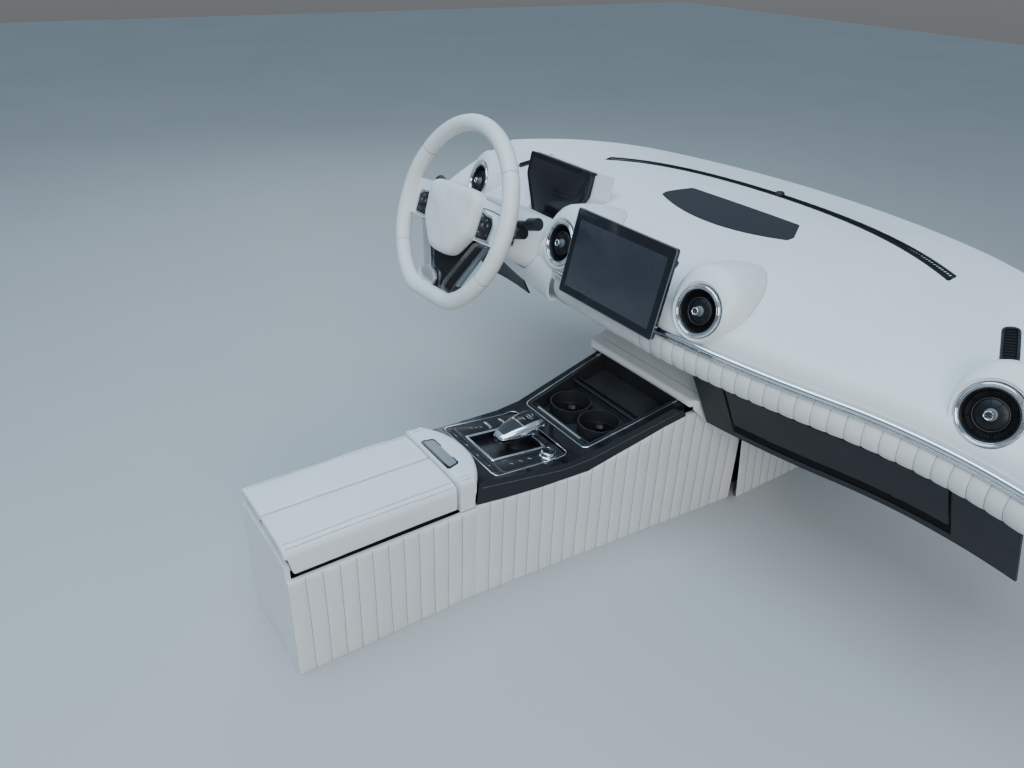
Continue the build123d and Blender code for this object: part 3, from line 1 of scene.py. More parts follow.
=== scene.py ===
from math import asin, atan2, ceil, cos, degrees, exp, floor, pi, radians, sin, sqrt

import bmesh
import bpy
import numpy as np
from mathutils import Matrix, Vector, noise
from mathutils.bvhtree import BVHTree


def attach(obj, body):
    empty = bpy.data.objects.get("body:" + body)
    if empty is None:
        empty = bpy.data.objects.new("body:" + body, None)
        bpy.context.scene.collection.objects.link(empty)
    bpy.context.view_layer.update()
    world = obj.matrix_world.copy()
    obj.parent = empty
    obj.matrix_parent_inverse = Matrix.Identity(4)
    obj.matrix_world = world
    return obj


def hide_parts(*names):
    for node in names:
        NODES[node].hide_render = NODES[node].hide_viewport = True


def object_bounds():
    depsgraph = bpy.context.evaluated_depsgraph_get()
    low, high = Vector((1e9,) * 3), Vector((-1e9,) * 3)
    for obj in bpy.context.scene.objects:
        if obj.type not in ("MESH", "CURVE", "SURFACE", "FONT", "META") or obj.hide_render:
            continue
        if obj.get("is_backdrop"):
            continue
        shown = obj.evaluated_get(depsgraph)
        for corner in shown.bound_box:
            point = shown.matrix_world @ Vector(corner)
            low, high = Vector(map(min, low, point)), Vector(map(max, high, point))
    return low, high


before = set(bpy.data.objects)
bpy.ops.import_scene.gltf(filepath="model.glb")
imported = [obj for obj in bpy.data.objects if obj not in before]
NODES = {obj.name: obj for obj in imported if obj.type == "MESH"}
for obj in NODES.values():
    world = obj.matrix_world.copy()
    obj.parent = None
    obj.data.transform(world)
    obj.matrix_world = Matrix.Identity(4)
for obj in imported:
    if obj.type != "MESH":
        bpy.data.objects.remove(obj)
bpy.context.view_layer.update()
MM = 0.001
Z = Vector((0, 0, 1))

# Sizes shared with the solids, in millimetres
FACE_Y, CENTRE_R, CENTRE_HALF, END_R, DASH_HALF = -262.0, 1700.0, 430.0, 650.0, 705.0
WHEEL, WHEEL_RAKE, WHEEL_TURN = (-331.0, -389.0, 531.0), 21.1, 3.0
TRIM_TOP = ((-602, 234), (-430, 217.5), (-376, 221), (-160, 270))
TRIM_FOOT = ((-602, 196), (-548, 192), (-485, 189.5), (-380, 190), (-330, 203), (-269, 218), (-215, 232), (-156, 244))
REAR_Y, CORNER_Y, LID_TOP = -922.0, -602.0, 247.0
VENTS = [(side, *vent) for vent in ((181.0, -243.0, 492.0, 3.8, 14.7), (609.0, -156.0, 495.0, 8.9, 17.8))
         for side in (1, -1)]


# Materials

class Nodes:
    """A material's node tree with short calls to add to it."""

    def __init__(self, name):
        self.mat = bpy.data.materials.new(name)
        self.mat.use_nodes = True
        self.tree = self.mat.node_tree
        self.shader = self.tree.nodes["Principled BSDF"]
        self.coords = self.tree.nodes.new("ShaderNodeTexCoord").outputs["Object"]

    def put(self, value, socket):
        """Link an output to a socket, or set the socket to a number or colour."""
        if isinstance(value, bpy.types.NodeSocket):
            self.tree.links.new(value, socket)
        else:
            socket.default_value = (*value, 1.0) if socket.type == "RGBA" else value

    def add(self, kind, out, **values):
        """Output of a new node; values name its properties and its sockets."""
        node = self.tree.nodes.new("ShaderNode" + kind)
        for key, value in values.items():
            socket = node.inputs.get(key.replace("_", " "))
            if socket is None:
                setattr(node, key, value)
            else:
                self.put(value, socket)
        return node.outputs[out]

    def noise(self, scale, detail=3.0, rough=0.55, stretch=None):
        at = self.add("Mapping", 0, Vector=self.coords, Scale=stretch) if stretch else self.coords
        return self.add("TexNoise", "Fac", Vector=at, Scale=scale, Detail=detail, Roughness=rough)

    def cells(self, scale, feature="F1"):
        return self.add("TexVoronoi", "Distance", feature=feature, Vector=self.coords, Scale=scale)

    def ramp(self, fac, low, high, start=0.0, end=1.0):
        return self.add("MapRange", 0, Value=fac, From_Min=start, From_Max=end, To_Min=low, To_Max=high)

    def blend(self, fac, first, second):
        node = self.tree.nodes.new("ShaderNodeMix")
        node.data_type = "RGBA"
        for value, at in ((fac, 0), (first, 6), (second, 7)):
            self.put(value, node.inputs[at])
        return node.outputs[2]

    def maths(self, operation, first, second):
        node = self.tree.nodes.new("ShaderNodeMath")
        node.operation = operation
        self.put(first, node.inputs[0])
        self.put(second, node.inputs[1])
        return node.outputs[0]

    def bump(self, height, strength, distance, after=None):
        out = self.add("Bump", 0, Height=height, Strength=strength, Distance=distance)
        if after is not None:
            self.put(after, out.node.inputs["Normal"])
        self.put(out, self.shader.inputs["Normal"])
        return out

    def finish(self, **values):
        for key, value in values.items():
            self.put(value, self.shader.inputs[key.replace("_", " ")])
        return self.mat


def times(colour, factor, more=0.0):
    return tuple(min(1.0, c * factor + more) for c in colour)


def leather(name, light, dark, grain=620.0, depth=0.00022, rough=(0.40, 0.56)):
    """Fine-grained leather: pebbled cells with painted shade in their soft creases, a painted highlight on convex edges
    and faint handling marks.
    """
    m = Nodes(name)
    handled = m.noise(38.0, 5.0, 0.6)
    tone = m.blend(m.ramp(m.noise(5.0, 4.0), 0.0, 1.0, 0.35, 0.68), light, dark)
    worn = m.maths("MULTIPLY", m.ramp(handled, 0.0, 1.0, 0.52, 0.78), 0.35)
    tone = m.blend(worn, tone, times(dark, 0.93))
    pores = m.cells(grain, "DISTANCE_TO_EDGE")
    # painted shade: the creases between the grain's pebbles are darkened in the colour
    crease_shade = m.maths("MULTIPLY", m.ramp(pores, 1.0, 0.0, 0.0, 0.10), 0.10)
    tone = m.blend(crease_shade, tone, times(dark, 0.6))
    # painted highlight: convex edges, found by pointiness, are lightened in the colour
    edge = m.add("NewGeometry", "Pointiness")
    edge_highlight = m.maths("MULTIPLY", m.ramp(edge, 0.0, 1.0, 0.53, 0.62), 0.25)
    tone = m.blend(edge_highlight, tone, times(light, 1.06))
    m.bump(m.noise(230.0, 4.0), 0.25, depth * 1.4, m.bump(pores, 0.45, depth))
    return m.finish(Base_Color=tone, Roughness=m.ramp(handled, *rough, 0.3, 0.75), Specular_IOR_Level=0.42)


def metal(name, colour, rough, streak=(1.0, 1.0, 14.0)):
    """Polished or brushed metal with faint hairlines and smudges."""
    m = Nodes(name)
    smudge, lines = m.noise(24.0, 4.0), m.noise(60.0, 3.0, 0.7, streak)
    tone = m.blend(m.ramp(smudge, 0.0, 1.0, 0.3, 0.75), colour, times(colour, 0.9))
    mixed = m.maths("ADD", m.ramp(smudge, 0.0, rough * 0.5, 0.35, 0.8), m.ramp(lines, 0.0, rough * 0.6, 0.3, 0.8))
    m.bump(lines, 0.12, 0.00002)
    return m.finish(Base_Color=tone, Metallic=1.0, Roughness=m.maths("ADD", mixed, rough * 0.6))


def gloss(name, colour, rough=0.05, smear=0.10):
    """Piano-black or display gloss with dust and finger smears in its roughness."""
    m = Nodes(name)
    dust = m.maths("MULTIPLY", m.ramp(m.noise(900.0, 2.0), 0.0, 1.0, 0.70, 0.78), 0.03)
    m.bump(m.noise(120.0, 2.0), 0.04, 0.00004)
    return m.finish(Base_Color=m.blend(dust, colour, (0.35, 0.36, 0.38)), Specular_IOR_Level=0.55,
                    Roughness=m.ramp(m.noise(16.0, 5.0, 0.62), rough, rough + smear, 0.35, 0.85))


def plastic(name, colour, rough=0.5, grain=900.0, depth=0.00012):
    """Moulded plastic with a fine spark-eroded grain."""
    m = Nodes(name)
    broad = m.noise(14.0, 4.0)
    m.bump(m.noise(grain * 0.6, 3.0), 0.3, depth, m.bump(m.cells(grain), 0.35, depth))
    tone = m.blend(m.ramp(broad, 0.0, 1.0, 0.3, 0.75), colour, times(colour, 1.35, 0.002))
    return m.finish(Base_Color=tone, Roughness=m.ramp(broad, rough - 0.06, rough + 0.1, 0.3, 0.75),
                    Specular_IOR_Level=0.4)


def mesh_cloth(name, colour, pitch):
    """Woven speaker cloth: rows of tiny holes between rounded threads."""
    m = Nodes(name)
    weave = m.maths("MULTIPLY", *(m.add("TexWave", "Fac", wave_type="BANDS", bands_direction=way, Scale=0.314 / pitch,
                                        Vector=m.coords) for way in "XY"))
    m.bump(weave, 0.6, 0.0004)
    return m.finish(Base_Color=m.blend(weave, times(colour, 0.35), colour), Roughness=0.8, Sheen_Weight=0.05)


BRUSHED = (1.0, 16.0, 1.0)
MATS = {
    "leather": leather("leather_white", (0.80, 0.81, 0.80), (0.74, 0.75, 0.745)),
    "pleat": leather("leather_pleated", (0.79, 0.79, 0.77), (0.72, 0.72, 0.70), 560.0, 0.00025),
    "rim": leather("leather_rim", (0.80, 0.79, 0.76), (0.75, 0.74, 0.71), 700.0, 0.00018, (0.36, 0.5)),
    "thread": plastic("stitch_thread", (0.55, 0.56, 0.55), 0.7, 2400.0, 0.00006),
    "seam": plastic("seam_shadow", (0.15, 0.155, 0.155), 0.85, 1200.0, 0.00005),
    "chrome": metal("chrome", (0.86, 0.87, 0.89), 0.05),
    "satin": metal("satin_silver", (0.66, 0.67, 0.69), 0.24, (1.0, 18.0, 1.0)),
    "silver": metal("silver_trim", (0.80, 0.81, 0.83), 0.16, BRUSHED),
    "leg_silver": metal("leg_silver", (0.86, 0.87, 0.89), 0.42, BRUSHED),
    "dark_silver": metal("dark_silver", (0.26, 0.265, 0.28), 0.26, BRUSHED),
    "bright": metal("bright_steel", (0.55, 0.55, 0.56), 0.3),
    "gloss": gloss("gloss_black", (0.006, 0.006, 0.008)),
    "glass": gloss("screen_glass", (0.010, 0.012, 0.016), 0.08),
    "display": gloss("display_area", (0.028, 0.032, 0.040), 0.22, 0.12),
    "display_dark": gloss("display_dark", (0.010, 0.010, 0.013), 0.16),
    "soft_black": gloss("soft_black", (0.009, 0.009, 0.011), 0.30),
    "cloth": mesh_cloth("speaker_cloth", (0.014, 0.017, 0.026), 0.0016),
    "black": plastic("black_plastic", (0.014, 0.014, 0.016)),
    "dark": plastic("dark_gap", (0.004, 0.004, 0.005), 0.8),
    "grey": plastic("grey_plastic", (0.13, 0.135, 0.145), 0.4),
    "hoop": plastic("hoop_grey", (0.045, 0.045, 0.05), 0.45),
    "latch": plastic("latch_grey", (0.20, 0.21, 0.225), 0.34, 1400.0, 0.00004),
    "steel": plastic("coated_steel", (0.05, 0.05, 0.055), 0.42, 500.0),
    "vent_black": plastic("vent_black", (0.004, 0.004, 0.005), 0.42, 1300.0, 0.00004),
    "mark": plastic("pale_marks", (0.42, 0.43, 0.45), 0.5, 1500.0, 0.00003),
    "tray": plastic("tray_black", (0.007, 0.007, 0.009), 0.40, 1100.0, 0.00006),
    "rubber": plastic("rubber_mat", (0.016, 0.016, 0.018), 0.66, 700.0, 0.0002),
}

DRESS = {
    "leather": "dash_pad vent_pods cluster_hood column_shroud_upper column_shroud_lower knee_panel bridge_housing "
               "armrest_surround lid_left lid_right wheel_cover wheel_arms console_rear_wall",
    "rim": "wheel_rim",
    "pleat": "dash_band console_side_panels console_front_covers",
    "chrome": "chrome_strip vent_rings",
    "satin": "vent_knobs wheel_switch_frames wheel_legs selector_lever rotary_knob",
    "gloss": "vent_cores wheel_infill console_top_trim armrest_latch cluster_screen touchscreen_frame",
    "soft_black": "wheel_switches selector_plate",
    "glass": "touchscreen_glass",
    "cloth": "speaker_grille",
    "black": "defroster_grille side_demisters sun_sensor stalks touchscreen_stem lower_panel lower_panel_left "
             "glovebox_lid glovebox_bin tray armrest_bin console_tub console_buttons climate_unit",
    "steel": "cross_beam beam_end_plates beam_stays tunnel_foot column_tube column_bracket",
    "bright": "wheel_armature lid_pins glovebox_pins",
}
for material, names in DRESS.items():
    for name in names.split():
        NODES[name].data.materials.clear()
        NODES[name].data.materials.append(MATS[material])


# Shapes

def follow(table, at):
    """Value at a place in a table of pairs."""
    return float(np.interp(at, *zip(*table)))


def face_frame(x):
    """Point of the dash's face line at x, and the unit vector that points forward from it."""
    a = abs(x)
    if a <= CENTRE_HALF:
        rise = sqrt(CENTRE_R ** 2 - a ** 2)
        point, ahead = Vector((a, FACE_Y + CENTRE_R - rise, 0)), Vector((-a, rise, 0)) / CENTRE_R
    else:
        turn = asin(CENTRE_HALF / CENTRE_R)
        axis = Vector((CENTRE_HALF + sin(turn) * END_R, FACE_Y + CENTRE_R * (1 - cos(turn)) - cos(turn) * END_R, 0))
        point = Vector((a, axis.y + sqrt(END_R ** 2 - (a - axis.x) ** 2), 0))
        ahead = (point - axis) / END_R
    if x < 0:
        point.x, ahead.x = -point.x, -ahead.x
    return point, ahead


def on_face(x, deep, z):
    """Place behind the dash's face line."""
    point, ahead = face_frame(x)
    place = point + ahead * deep
    place.z = z
    return place


def top_z(y):
    """Height of the console trim's upper surface."""
    return follow(TRIM_TOP, y)


def on_trim(x, y, lift=0.0):
    return Vector((x, y, top_z(y) + lift))


def placer(origin, across, up, turn=0.0):
    """Function from a plane's own coordinates to the row frame."""
    across, up = Vector(across).normalized(), Vector(up).normalized()
    out = across.cross(up)
    c, s = cos(radians(turn)), sin(radians(turn))
    origin = Vector(origin)

    def place(a, b, h=0.0):
        return origin + across * (a * c - b * s) + up * (a * s + b * c) + out * h
    return place


def tilted(origin, tilt, turn=0.0):
    """Plane facing the cabin, leaning back by an angle."""
    t = radians(tilt)
    return placer(origin, (1, 0, 0), (0, sin(t), cos(t)), turn)


def level(x, y, z):
    """Plane facing up."""
    return placer((x, y, z), (1, 0, 0), (0, 1, 0))


def normal_of(place):
    return place(0, 0, 1) - place(0, 0, 0)


on_wheel = tilted(WHEEL, WHEEL_RAKE, WHEEL_TURN)
WHEEL_OUT = normal_of(on_wheel)


def turns(count, start=0.0):
    """Angles spaced evenly round a circle."""
    return [2 * pi * (k + start) / count for k in range(count)]


def ridge(half, low, shoulder, top, high):
    """Section of a raised line with eased shoulders."""
    return [(-half, low), (-half, shoulder), (-top, high), (top, high), (half, shoulder), (half, low)]


def bar(half, low, high, top=None):
    """Section of a straight or tapered bar."""
    top = half if top is None else top
    return [(-half, low), (-top, high), (top, high), (half, low)]


class Shape:
    """Vertices in millimetres and faces, grown ring by ring."""

    def __init__(self):
        self.verts, self.faces = [], []

    def ring(self, points):
        start = len(self.verts)
        self.verts.extend(tuple(Vector(p)) for p in points)
        return list(range(start, len(self.verts)))

    def join(self, first, second, closed=True):
        count = len(first)
        for i in range(count if closed else count - 1):
            j = (i + 1) % count
            self.faces.append((first[i], first[j], second[j], second[i]))

    def skin(self, rings, closed=True, loop=False, caps=False):
        for first, second in zip(rings, rings[1:]):
            self.join(first, second, closed)
        if loop:
            self.join(rings[-1], rings[0], closed)
        if caps:
            self.faces += [tuple(reversed(rings[0])), tuple(rings[-1])]

    def sweep(self, path, section, up=Z, closed=False):
        """Section of (side, height) pairs along a path."""
        rings, count = [], len(path)
        for i, point in enumerate(path):
            before = path[i - 1] if closed or i else path[i]
            after = path[(i + 1) % count] if closed or i < count - 1 else path[i]
            along = (after - before).normalized()
            side = along.cross(up).normalized()
            high = side.cross(along).normalized()
            rings.append(self.ring([point + side * s + high * h for s, h in section]))
        self.skin(rings, True, closed, not closed)
        return self

    def tube(self, path, radius, closed=False, up=Vector((0.03, 0.05, 1)), sides=8):
        return self.sweep(path, [(radius * cos(t), radius * sin(t)) for t in turns(sides)], up, closed)

    def lathe(self, profile, place, sides=64, loop=False):
        """Profile of (radius, height) turned about a plane's normal."""
        rings = [self.ring([place(r * cos(t), r * sin(t), h) for r, h in profile]) for t in turns(sides)]
        self.skin(rings, loop, True)
        return self

    def slab(self, outline, place, low, high, bevel=0.8, crown=0.0):
        """Plate over a closed outline with softened upper edges and a slight crown."""
        steps = ((0, low), (0, high - bevel), (bevel * 0.3, high - bevel * 0.3), (bevel, high))
        rings = [self.ring([place(a, b, h) for a, b in inset(outline, d)]) for d, h in steps]
        if crown:
            ca, cb = (sum(values) / len(outline) for values in zip(*outline))
            for k in (0.85, 0.65, 0.4, 0.15):
                rings.append(self.ring([place(ca + (a - ca) * k, cb + (b - cb) * k, high + crown * (1 - k * k))
                                        for a, b in inset(outline, bevel)]))
        self.skin(rings)
        self.faces += [tuple(rings[-1]), tuple(reversed(rings[0]))]
        return self


def inset(outline, amount):
    """Closed outline moved inwards along its corners' bisectors."""
    if not amount:
        return outline
    around = list(zip([outline[-1], *outline[:-1]], outline, [*outline[1:], outline[0]]))
    turn = 1 if sum(x0 * y1 - x1 * y0 for (x0, y0), (x1, y1), _ in around) > 0 else -1
    moved = []
    for (xa, ya), (xb, yb), (xc, yc) in around:
        n = Vector((-(yb - ya), xb - xa, 0)).normalized() + Vector((-(yc - yb), xc - xb, 0)).normalized()
        n = n.normalized() * amount * turn
        moved.append((xb + n.x, yb + n.y))
    return moved


def rounded(points, radius, steps=6):
    """Closed outline with its corners eased by short curves."""
    result, count = [], len(points)
    for i in range(count):
        corner = Vector(points[i])
        before, after = Vector(points[i - 1]) - corner, Vector(points[(i + 1) % count]) - corner
        a = corner + before.normalized() * min(radius, before.length * 0.45)
        b = corner + after.normalized() * min(radius, after.length * 0.45)
        for k in range(steps + 1):
            t = k / steps
            p = a * (1 - t) ** 2 + corner * 2 * t * (1 - t) + b * t * t
            result.append((p.x, p.y))
    return result


def quad(low_half, y0, high_half, y1, radius, middle=0.0):
    """Rounded outline with two level sides about a middle."""
    return rounded([(middle - low_half, y0), (middle + low_half, y0), (middle + high_half, y1),
                    (middle - high_half, y1)], radius)


def refined(outline, step):
    """Closed outline with points added so that none are further apart than a step."""
    result, count = [], len(outline)
    for i in range(count):
        a, b = Vector(outline[i]), Vector(outline[(i + 1) % count])
        parts = max(1, ceil((b - a).length / step))
        result.extend(tuple(a.lerp(b, k / parts)) for k in range(parts))
    return result


def piece(name, shape, material, replaced=(), sharp=35.0, slot=None, body="cockpit"):
    """Object from a shape, riding on a body and finished with a material; the slot argument is not used."""
    mesh = bpy.data.meshes.new(name)
    mesh.from_pydata([tuple(c * MM for c in p) for p in shape.verts], [], shape.faces)
    work = bmesh.new()
    work.from_mesh(mesh)
    bmesh.ops.remove_doubles(work, verts=work.verts, dist=1e-6)
    bmesh.ops.recalc_face_normals(work, faces=work.faces)
    work.to_mesh(mesh)
    work.free()
    mesh.shade_smooth()
    mesh.set_sharp_from_angle(angle=radians(sharp))
    obj = bpy.data.objects.new(name, mesh)
    bpy.context.scene.collection.objects.link(obj)
    mesh.materials.append(MATS[material])
    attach(obj, body)
    if replaced:
        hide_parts(*replaced)
    return obj


def evaluated(obj):
    return obj.evaluated_get(bpy.context.evaluated_depsgraph_get())


def places(mesh):
    """Coordinates of a mesh's vertices."""
    found = np.empty(len(mesh.vertices) * 3)
    mesh.vertices.foreach_get("co", found)
    return found.reshape(-1, 3)


def swell(obj, limit, frames=20):
    """Fill a closed piece by a short cloth simulation and keep each point within its limit in millimetres."""
    mesh, scene = obj.data, bpy.context.scene
    start = places(mesh)
    cloth = obj.modifiers.new("fill", "CLOTH")
    cloth.settings.use_pressure = True
    cloth.settings.uniform_pressure_force = 4.0
    cloth.settings.effector_weights.gravity = 0
    cloth.settings.quality = 5
    cloth.settings.bending_stiffness = 2.0
    cloth.collision_settings.use_collision = False
    cloth.point_cache.frame_start, cloth.point_cache.frame_end = 1, frames
    for step in range(1, frames + 1):
        scene.frame_set(step)
    shift = places(evaluated(obj).to_mesh()) - start
    most = np.array([limit(Vector(p) / MM) for p in start]) * MM
    shift *= np.minimum(1.0, most / np.maximum(np.linalg.norm(shift, axis=1), 1e-9))[:, None]
    obj.modifiers.remove(cloth)
    scene.frame_set(1)
    mesh.vertices.foreach_set("co", (start + shift).ravel())
    mesh.update()


def smoothed(obj):
    """Apply one level of subdivision."""
    obj.modifiers.new("smooth", "SUBSURF").levels = 1
    mesh = bpy.data.meshes.new_from_object(evaluated(obj))
    obj.modifiers.clear()
    name = obj.data.name
    old, obj.data = obj.data, mesh
    bpy.data.meshes.remove(old)
    obj.data.name = name
    obj.data.shade_smooth()


def ripple(x, y, z, seed, size=40.0):
    """Smooth repeatable unevenness between -1 and 1."""
    return noise.noise(Vector((x / size + seed * 7.3, y / size - seed * 3.1, z / size + seed)))


TREES = {}


def mesh_tree(obj):
    """Ray-cast tree of an object's mesh in millimetres."""
    if obj.name not in TREES:
        mesh = obj.data
        TREES[obj.name] = BVHTree.FromPolygons([v.co / MM for v in mesh.vertices], [p.vertices for p in mesh.polygons])
    return TREES[obj.name]


def hits(tree, starts, towards):
    """Places where rays from some starts meet a mesh."""
    found = (tree.ray_cast(Vector(start), Vector(towards))[0] for start in starts)
    return [hit for hit in found if hit]


def drop(x, y, names=("dash_pad",)):
    """Highest point of some nodes under a place."""
    found = [hit for name in names for hit in hits(mesh_tree(NODES[name]), [(x, y, 900)], (0, 0, -1))]
    return max(found, key=lambda hit: hit.z) if found else None


def stitches(shape, path, up, length=4.2, gap=2.2):
    """Row of thread stitches along a path, each dipping at its ends."""
    run, total = [0.0], 0.0
    for a, b in zip(path, path[1:]):
        total += (b - a).length
        run.append(total)

    def at(s):
        i = min(max(1, int(np.searchsorted(run, s))), len(path) - 1)
        return path[i - 1].lerp(path[i], (s - run[i - 1]) / max(run[i] - run[i - 1], 1e-6))
    s = gap
    while s + length < total:
        ends = (at(s), at(s + length * 0.25), at(s + length * 0.75), at(s + length))
        shape.tube([p + up * h for p, h in zip(ends, (-0.25, 0.32, 0.32, -0.25))], 0.42, sides=5, up=up)
        s += length + gap


# Pleated leather: band, side panels and forward covers

BAND_PITCH, WALL_PITCH, COVER_X = 25.0, 26.0, 150.0
BAND_OUT = ((11, 423.4), (8.2, 423.4), (5.4, 419), (3.6, 413), (2.8, 406.5), (3.2, 400), (4.6, 394), (6.6, 388.5),
            (9.4, 383), (13.6, 378.6), (19.5, 376.2), (26, 375), (40, 373.4), (55, 371.4), (69, 369.4))
BAND_BACK = ((69, 375.6), (26, 381.4), (16.2, 388), (15.4, 423.4))
COVER_REAR = ((0, 2), (147, -16), (149, -6.5), (162, 6.8), (202, 28.6))


def pillow(u, amount):
    """Height of a stuffed pleat across its width."""
    return amount * (1 - abs(2 * u - 1) ** 3.2)


def calm(x):
    """Share of the pleats' depth along the dash: the band is nearly smooth under the screen."""
    return 1.0 if x < -400 else 0.15 + 0.85 * min(1.0, max(0.0, (x + 10) / 150.0))


def wander(index, z, seed, amount, spread, size, start=0.0):
    """Sideways wander of a pleat's seam with height."""
    first = floor(index + 1e-6)
    a, b = (amount * ripple(k * spread + start, 0, z, seed, size) for k in (first, first + 1))
    return a + (b - a) * (index - first)


def band(start, end, seed):
    """Pleated band between two places along the dash, and the dark lines of its seams."""
    shape, rings, lines = Shape(), [], Shape()

    def lean(index, z):
        return wander(index, z, seed + 5, 1.1, 17.0, 60)
    seams = [start] + [k * BAND_PITCH for k in range(-28, 29) if start + 6 < k * BAND_PITCH < end - 6] + [end]
    for index, x in enumerate(seams[1:-1], 1):
        if calm(x) >= 0.5:
            path = [on_face(x + lean(index, z) * min(1.0, (row + 1) / 3.0), d, z)
                    for row, (d, z) in enumerate(BAND_OUT[1:13])]
            lines.tube(path, 0.42, up=Vector((1, 0.02, 0)), sides=6)
    for index, (a, b) in enumerate(zip(seams, seams[1:])):
        for k in range(9 + (index == len(seams) - 2)):
            u = k / 9
            x, ring = a + (b - a) * u, []
            for row, (d, z) in enumerate(BAND_OUT):
                fade = min(1.0, row / 3.0) * (1.0 if row < 11 else max(0.0, (14 - row) / 3.0))
                size = (1.5 + 0.4 * ripple(index * 31.0, 0, z, seed, 30)) * calm(x)
                puff = pillow(u, size) * fade + 0.35 * fade * ripple(x, 0, z * 2.2, seed + 3, 11)
                before, after = BAND_OUT[max(0, row - 1)], BAND_OUT[min(len(BAND_OUT) - 1, row + 1)]
                n = Vector((after[1] - before[1], before[0] - after[0], 0)).normalized()
                at = max(start, min(end, x + lean(index + u, z) * fade))
                ring.append(on_face(at, d + n.x * puff, z + n.y * puff))
            ring += [on_face(x, d, z) for d, z in BAND_BACK]
            for place in ring:
                place.x = max(-DASH_HALF, min(DASH_HALF, place.x))
            rings.append(shape.ring(ring))
    shape.skin(rings, caps=True)
    return shape, lines


def pleated_wall(side, runs, top, seed, rear=None, rows=26):
    """Upright pleated panel along forward runs, and its seam lines; top and rear are functions."""
    shape, rings, lines = Shape(), [], Shape()

    def placed(p, z):
        return Vector((side * p.x, p.y, z))
    for run, ((x0, y0), (x1, y1)) in enumerate(runs):
        span = Vector((x1 - x0, y1 - y0, 0))
        out = Vector((span.y, -span.x, 0)).normalized()
        count = max(1, round(span.length / WALL_PITCH))
        for index in range(count):
            for k in range(8 + (run == len(runs) - 1 and index == count - 1)):
                u = k / 8
                s, ring = (index + u) / count, []
                for row in range(rows + 1):
                    v = row / rows
                    base = Vector((x0, y0, 0)) + span * s
                    z = v * (top(base.y) - 1.2)
                    if rear:
                        base.y = rear(z) + (y1 - rear(z)) * (base.y - y0) / (y1 - y0)
                    edge = min(1.0, (1 - v) * rows / 2.5 + 0.25) * min(1.0, v * rows / 1.5 + 0.4)
                    puff = pillow(u, 1.6 + 0.6 * ripple(index * 13.0 + run * 71, 0, z, seed, 70)) * edge
                    puff += 0.3 * ripple(base.y, side * 50, z * 0.8, seed + 2, 16) * edge
                    lean = wander(index + u, z, seed + 9, 1.2, 23.0, 90, run * 37) * (0 < s < 1)
                    ring.append(placed(base + out * puff + span.normalized() * lean, z))
                if k == 0 and 0 < index:
                    lines.tube([place + placed(out, 0) * 0.12 for place in ring[::2]], 0.42, up=placed(out, 0.02),
                               sides=6)
                foot, high = base.copy(), top(base.y)
                if rear:
                    foot.y = rear(0.0) + (y1 - rear(0.0)) * s
                ring += [placed(base - out * 2.0, high), placed(base - out * 8.0, high), placed(foot - out * 8.0, 0)]
                rings.append(shape.ring(ring))
    shape.skin(rings, caps=True)
    return shape, lines


def console_half(y):
    return 96.0 + max(0.0, y - CORNER_Y) * 0.0757


def side_top(y):
    return 187.7 if y <= CORNER_Y else follow(TRIM_FOOT, y) - 0.3


def pleats(name, shape, lines, node):
    """Padded pleated piece and its seam lines."""
    piece(name, shape, "pleat", (node,), 60)
    piece(name + "_seams", lines, "seam", slot="leather_pleated")


for word, start, end, seed in (("right", -182.0, DASH_HALF, 1.0), ("left", -DASH_HALF, -486.0, 4.0)):
    pleats(f"band_{word}", *band(start, end, seed), "dash_band")
RUNS = (((96.0, REAR_Y), (96.0, CORNER_Y)), ((96.0, CORNER_Y), (console_half(-14.0), -14.0)))
for side, word in ((1, "right"), (-1, "left")):
    pleats(f"side_panel_{word}", *pleated_wall(side, RUNS, side_top, 3.0 + side), "console_side_panels")
    edge = [Vector((side * (console_half(-14) - 3.2 + 0.5 * ripple(0, side, z, 2)), -14.5, z))
            for z in range(2, 149, 7)]
    piece(f"side_piping_{word}", Shape().tube(edge, 4.3, up=Vector((1, 0, 0)), sides=12), "pleat")
    cover, lines = pleated_wall(side, (((COVER_X, -16.0), (COVER_X, 264.0)),), lambda y: 202.0, 8.0 + side,
                                lambda z: follow(COVER_REAR, z))
    tab = [(-17.4, 60), (-8.2, 60), (-8.2, 160), (-17.4, 160)]
    cover.slab(tab, placer((side * COVER_X, 165, 0), (side, 0, 0), Z), -54.5, 54.5, 0.5)
    pleats(f"front_cover_{word}", cover, lines, "console_front_covers")


# Armrest

LID_FRONT = -634.2
LID_LOOP = ((1.6, 245.6), (3.4, 247), (20, 247.1), (40, 246.9), (60, 246.2), (76, 245.1), (84, 243.4), (89.2, 239.8),
            (92.4, 233.6), (93, 225), (93, 210), (92.6, 199), (91.2, 197.2), (88.6, 197.6), (87.4, 200), (87.2, 214),
            (87.2, 228), (85.6, 233), (82, 234.2), (60, 234.2), (30, 234.2), (4, 234.2), (1.8, 235.6), (1.6, 240))


def lid(side):
    """Leather-wrapped armrest leaf: crowned top, rounded outer edge and deep skirt."""
    shape, rings, loop = Shape(), [], refined(LID_LOOP, 4.2)
    for y in [REAR_Y, -921, -919.2, *np.linspace(-916, -640, 66), -637, -635.2, LID_FRONT]:
        trim = 3.0 * (1 - min(1.0, min(y - REAR_Y, LID_FRONT - y) / 3.0)) ** 2
        skirt = y < -912
        rings.append(shape.ring([(side * x, y, 231 + (z - 231) * 0.06 if skirt and x > 80 and z < 231 else z)
                                 for x, z in inset(loop, trim)]))
    shape.skin(rings, caps=True)
    return shape


def lid_limit(p):
    inside = p.z < 236 and abs(p.x) < 88
    near = abs(p.x) < 4 or p.y > -638 or p.y < -918
    return 0.1 if inside or near else 0.9


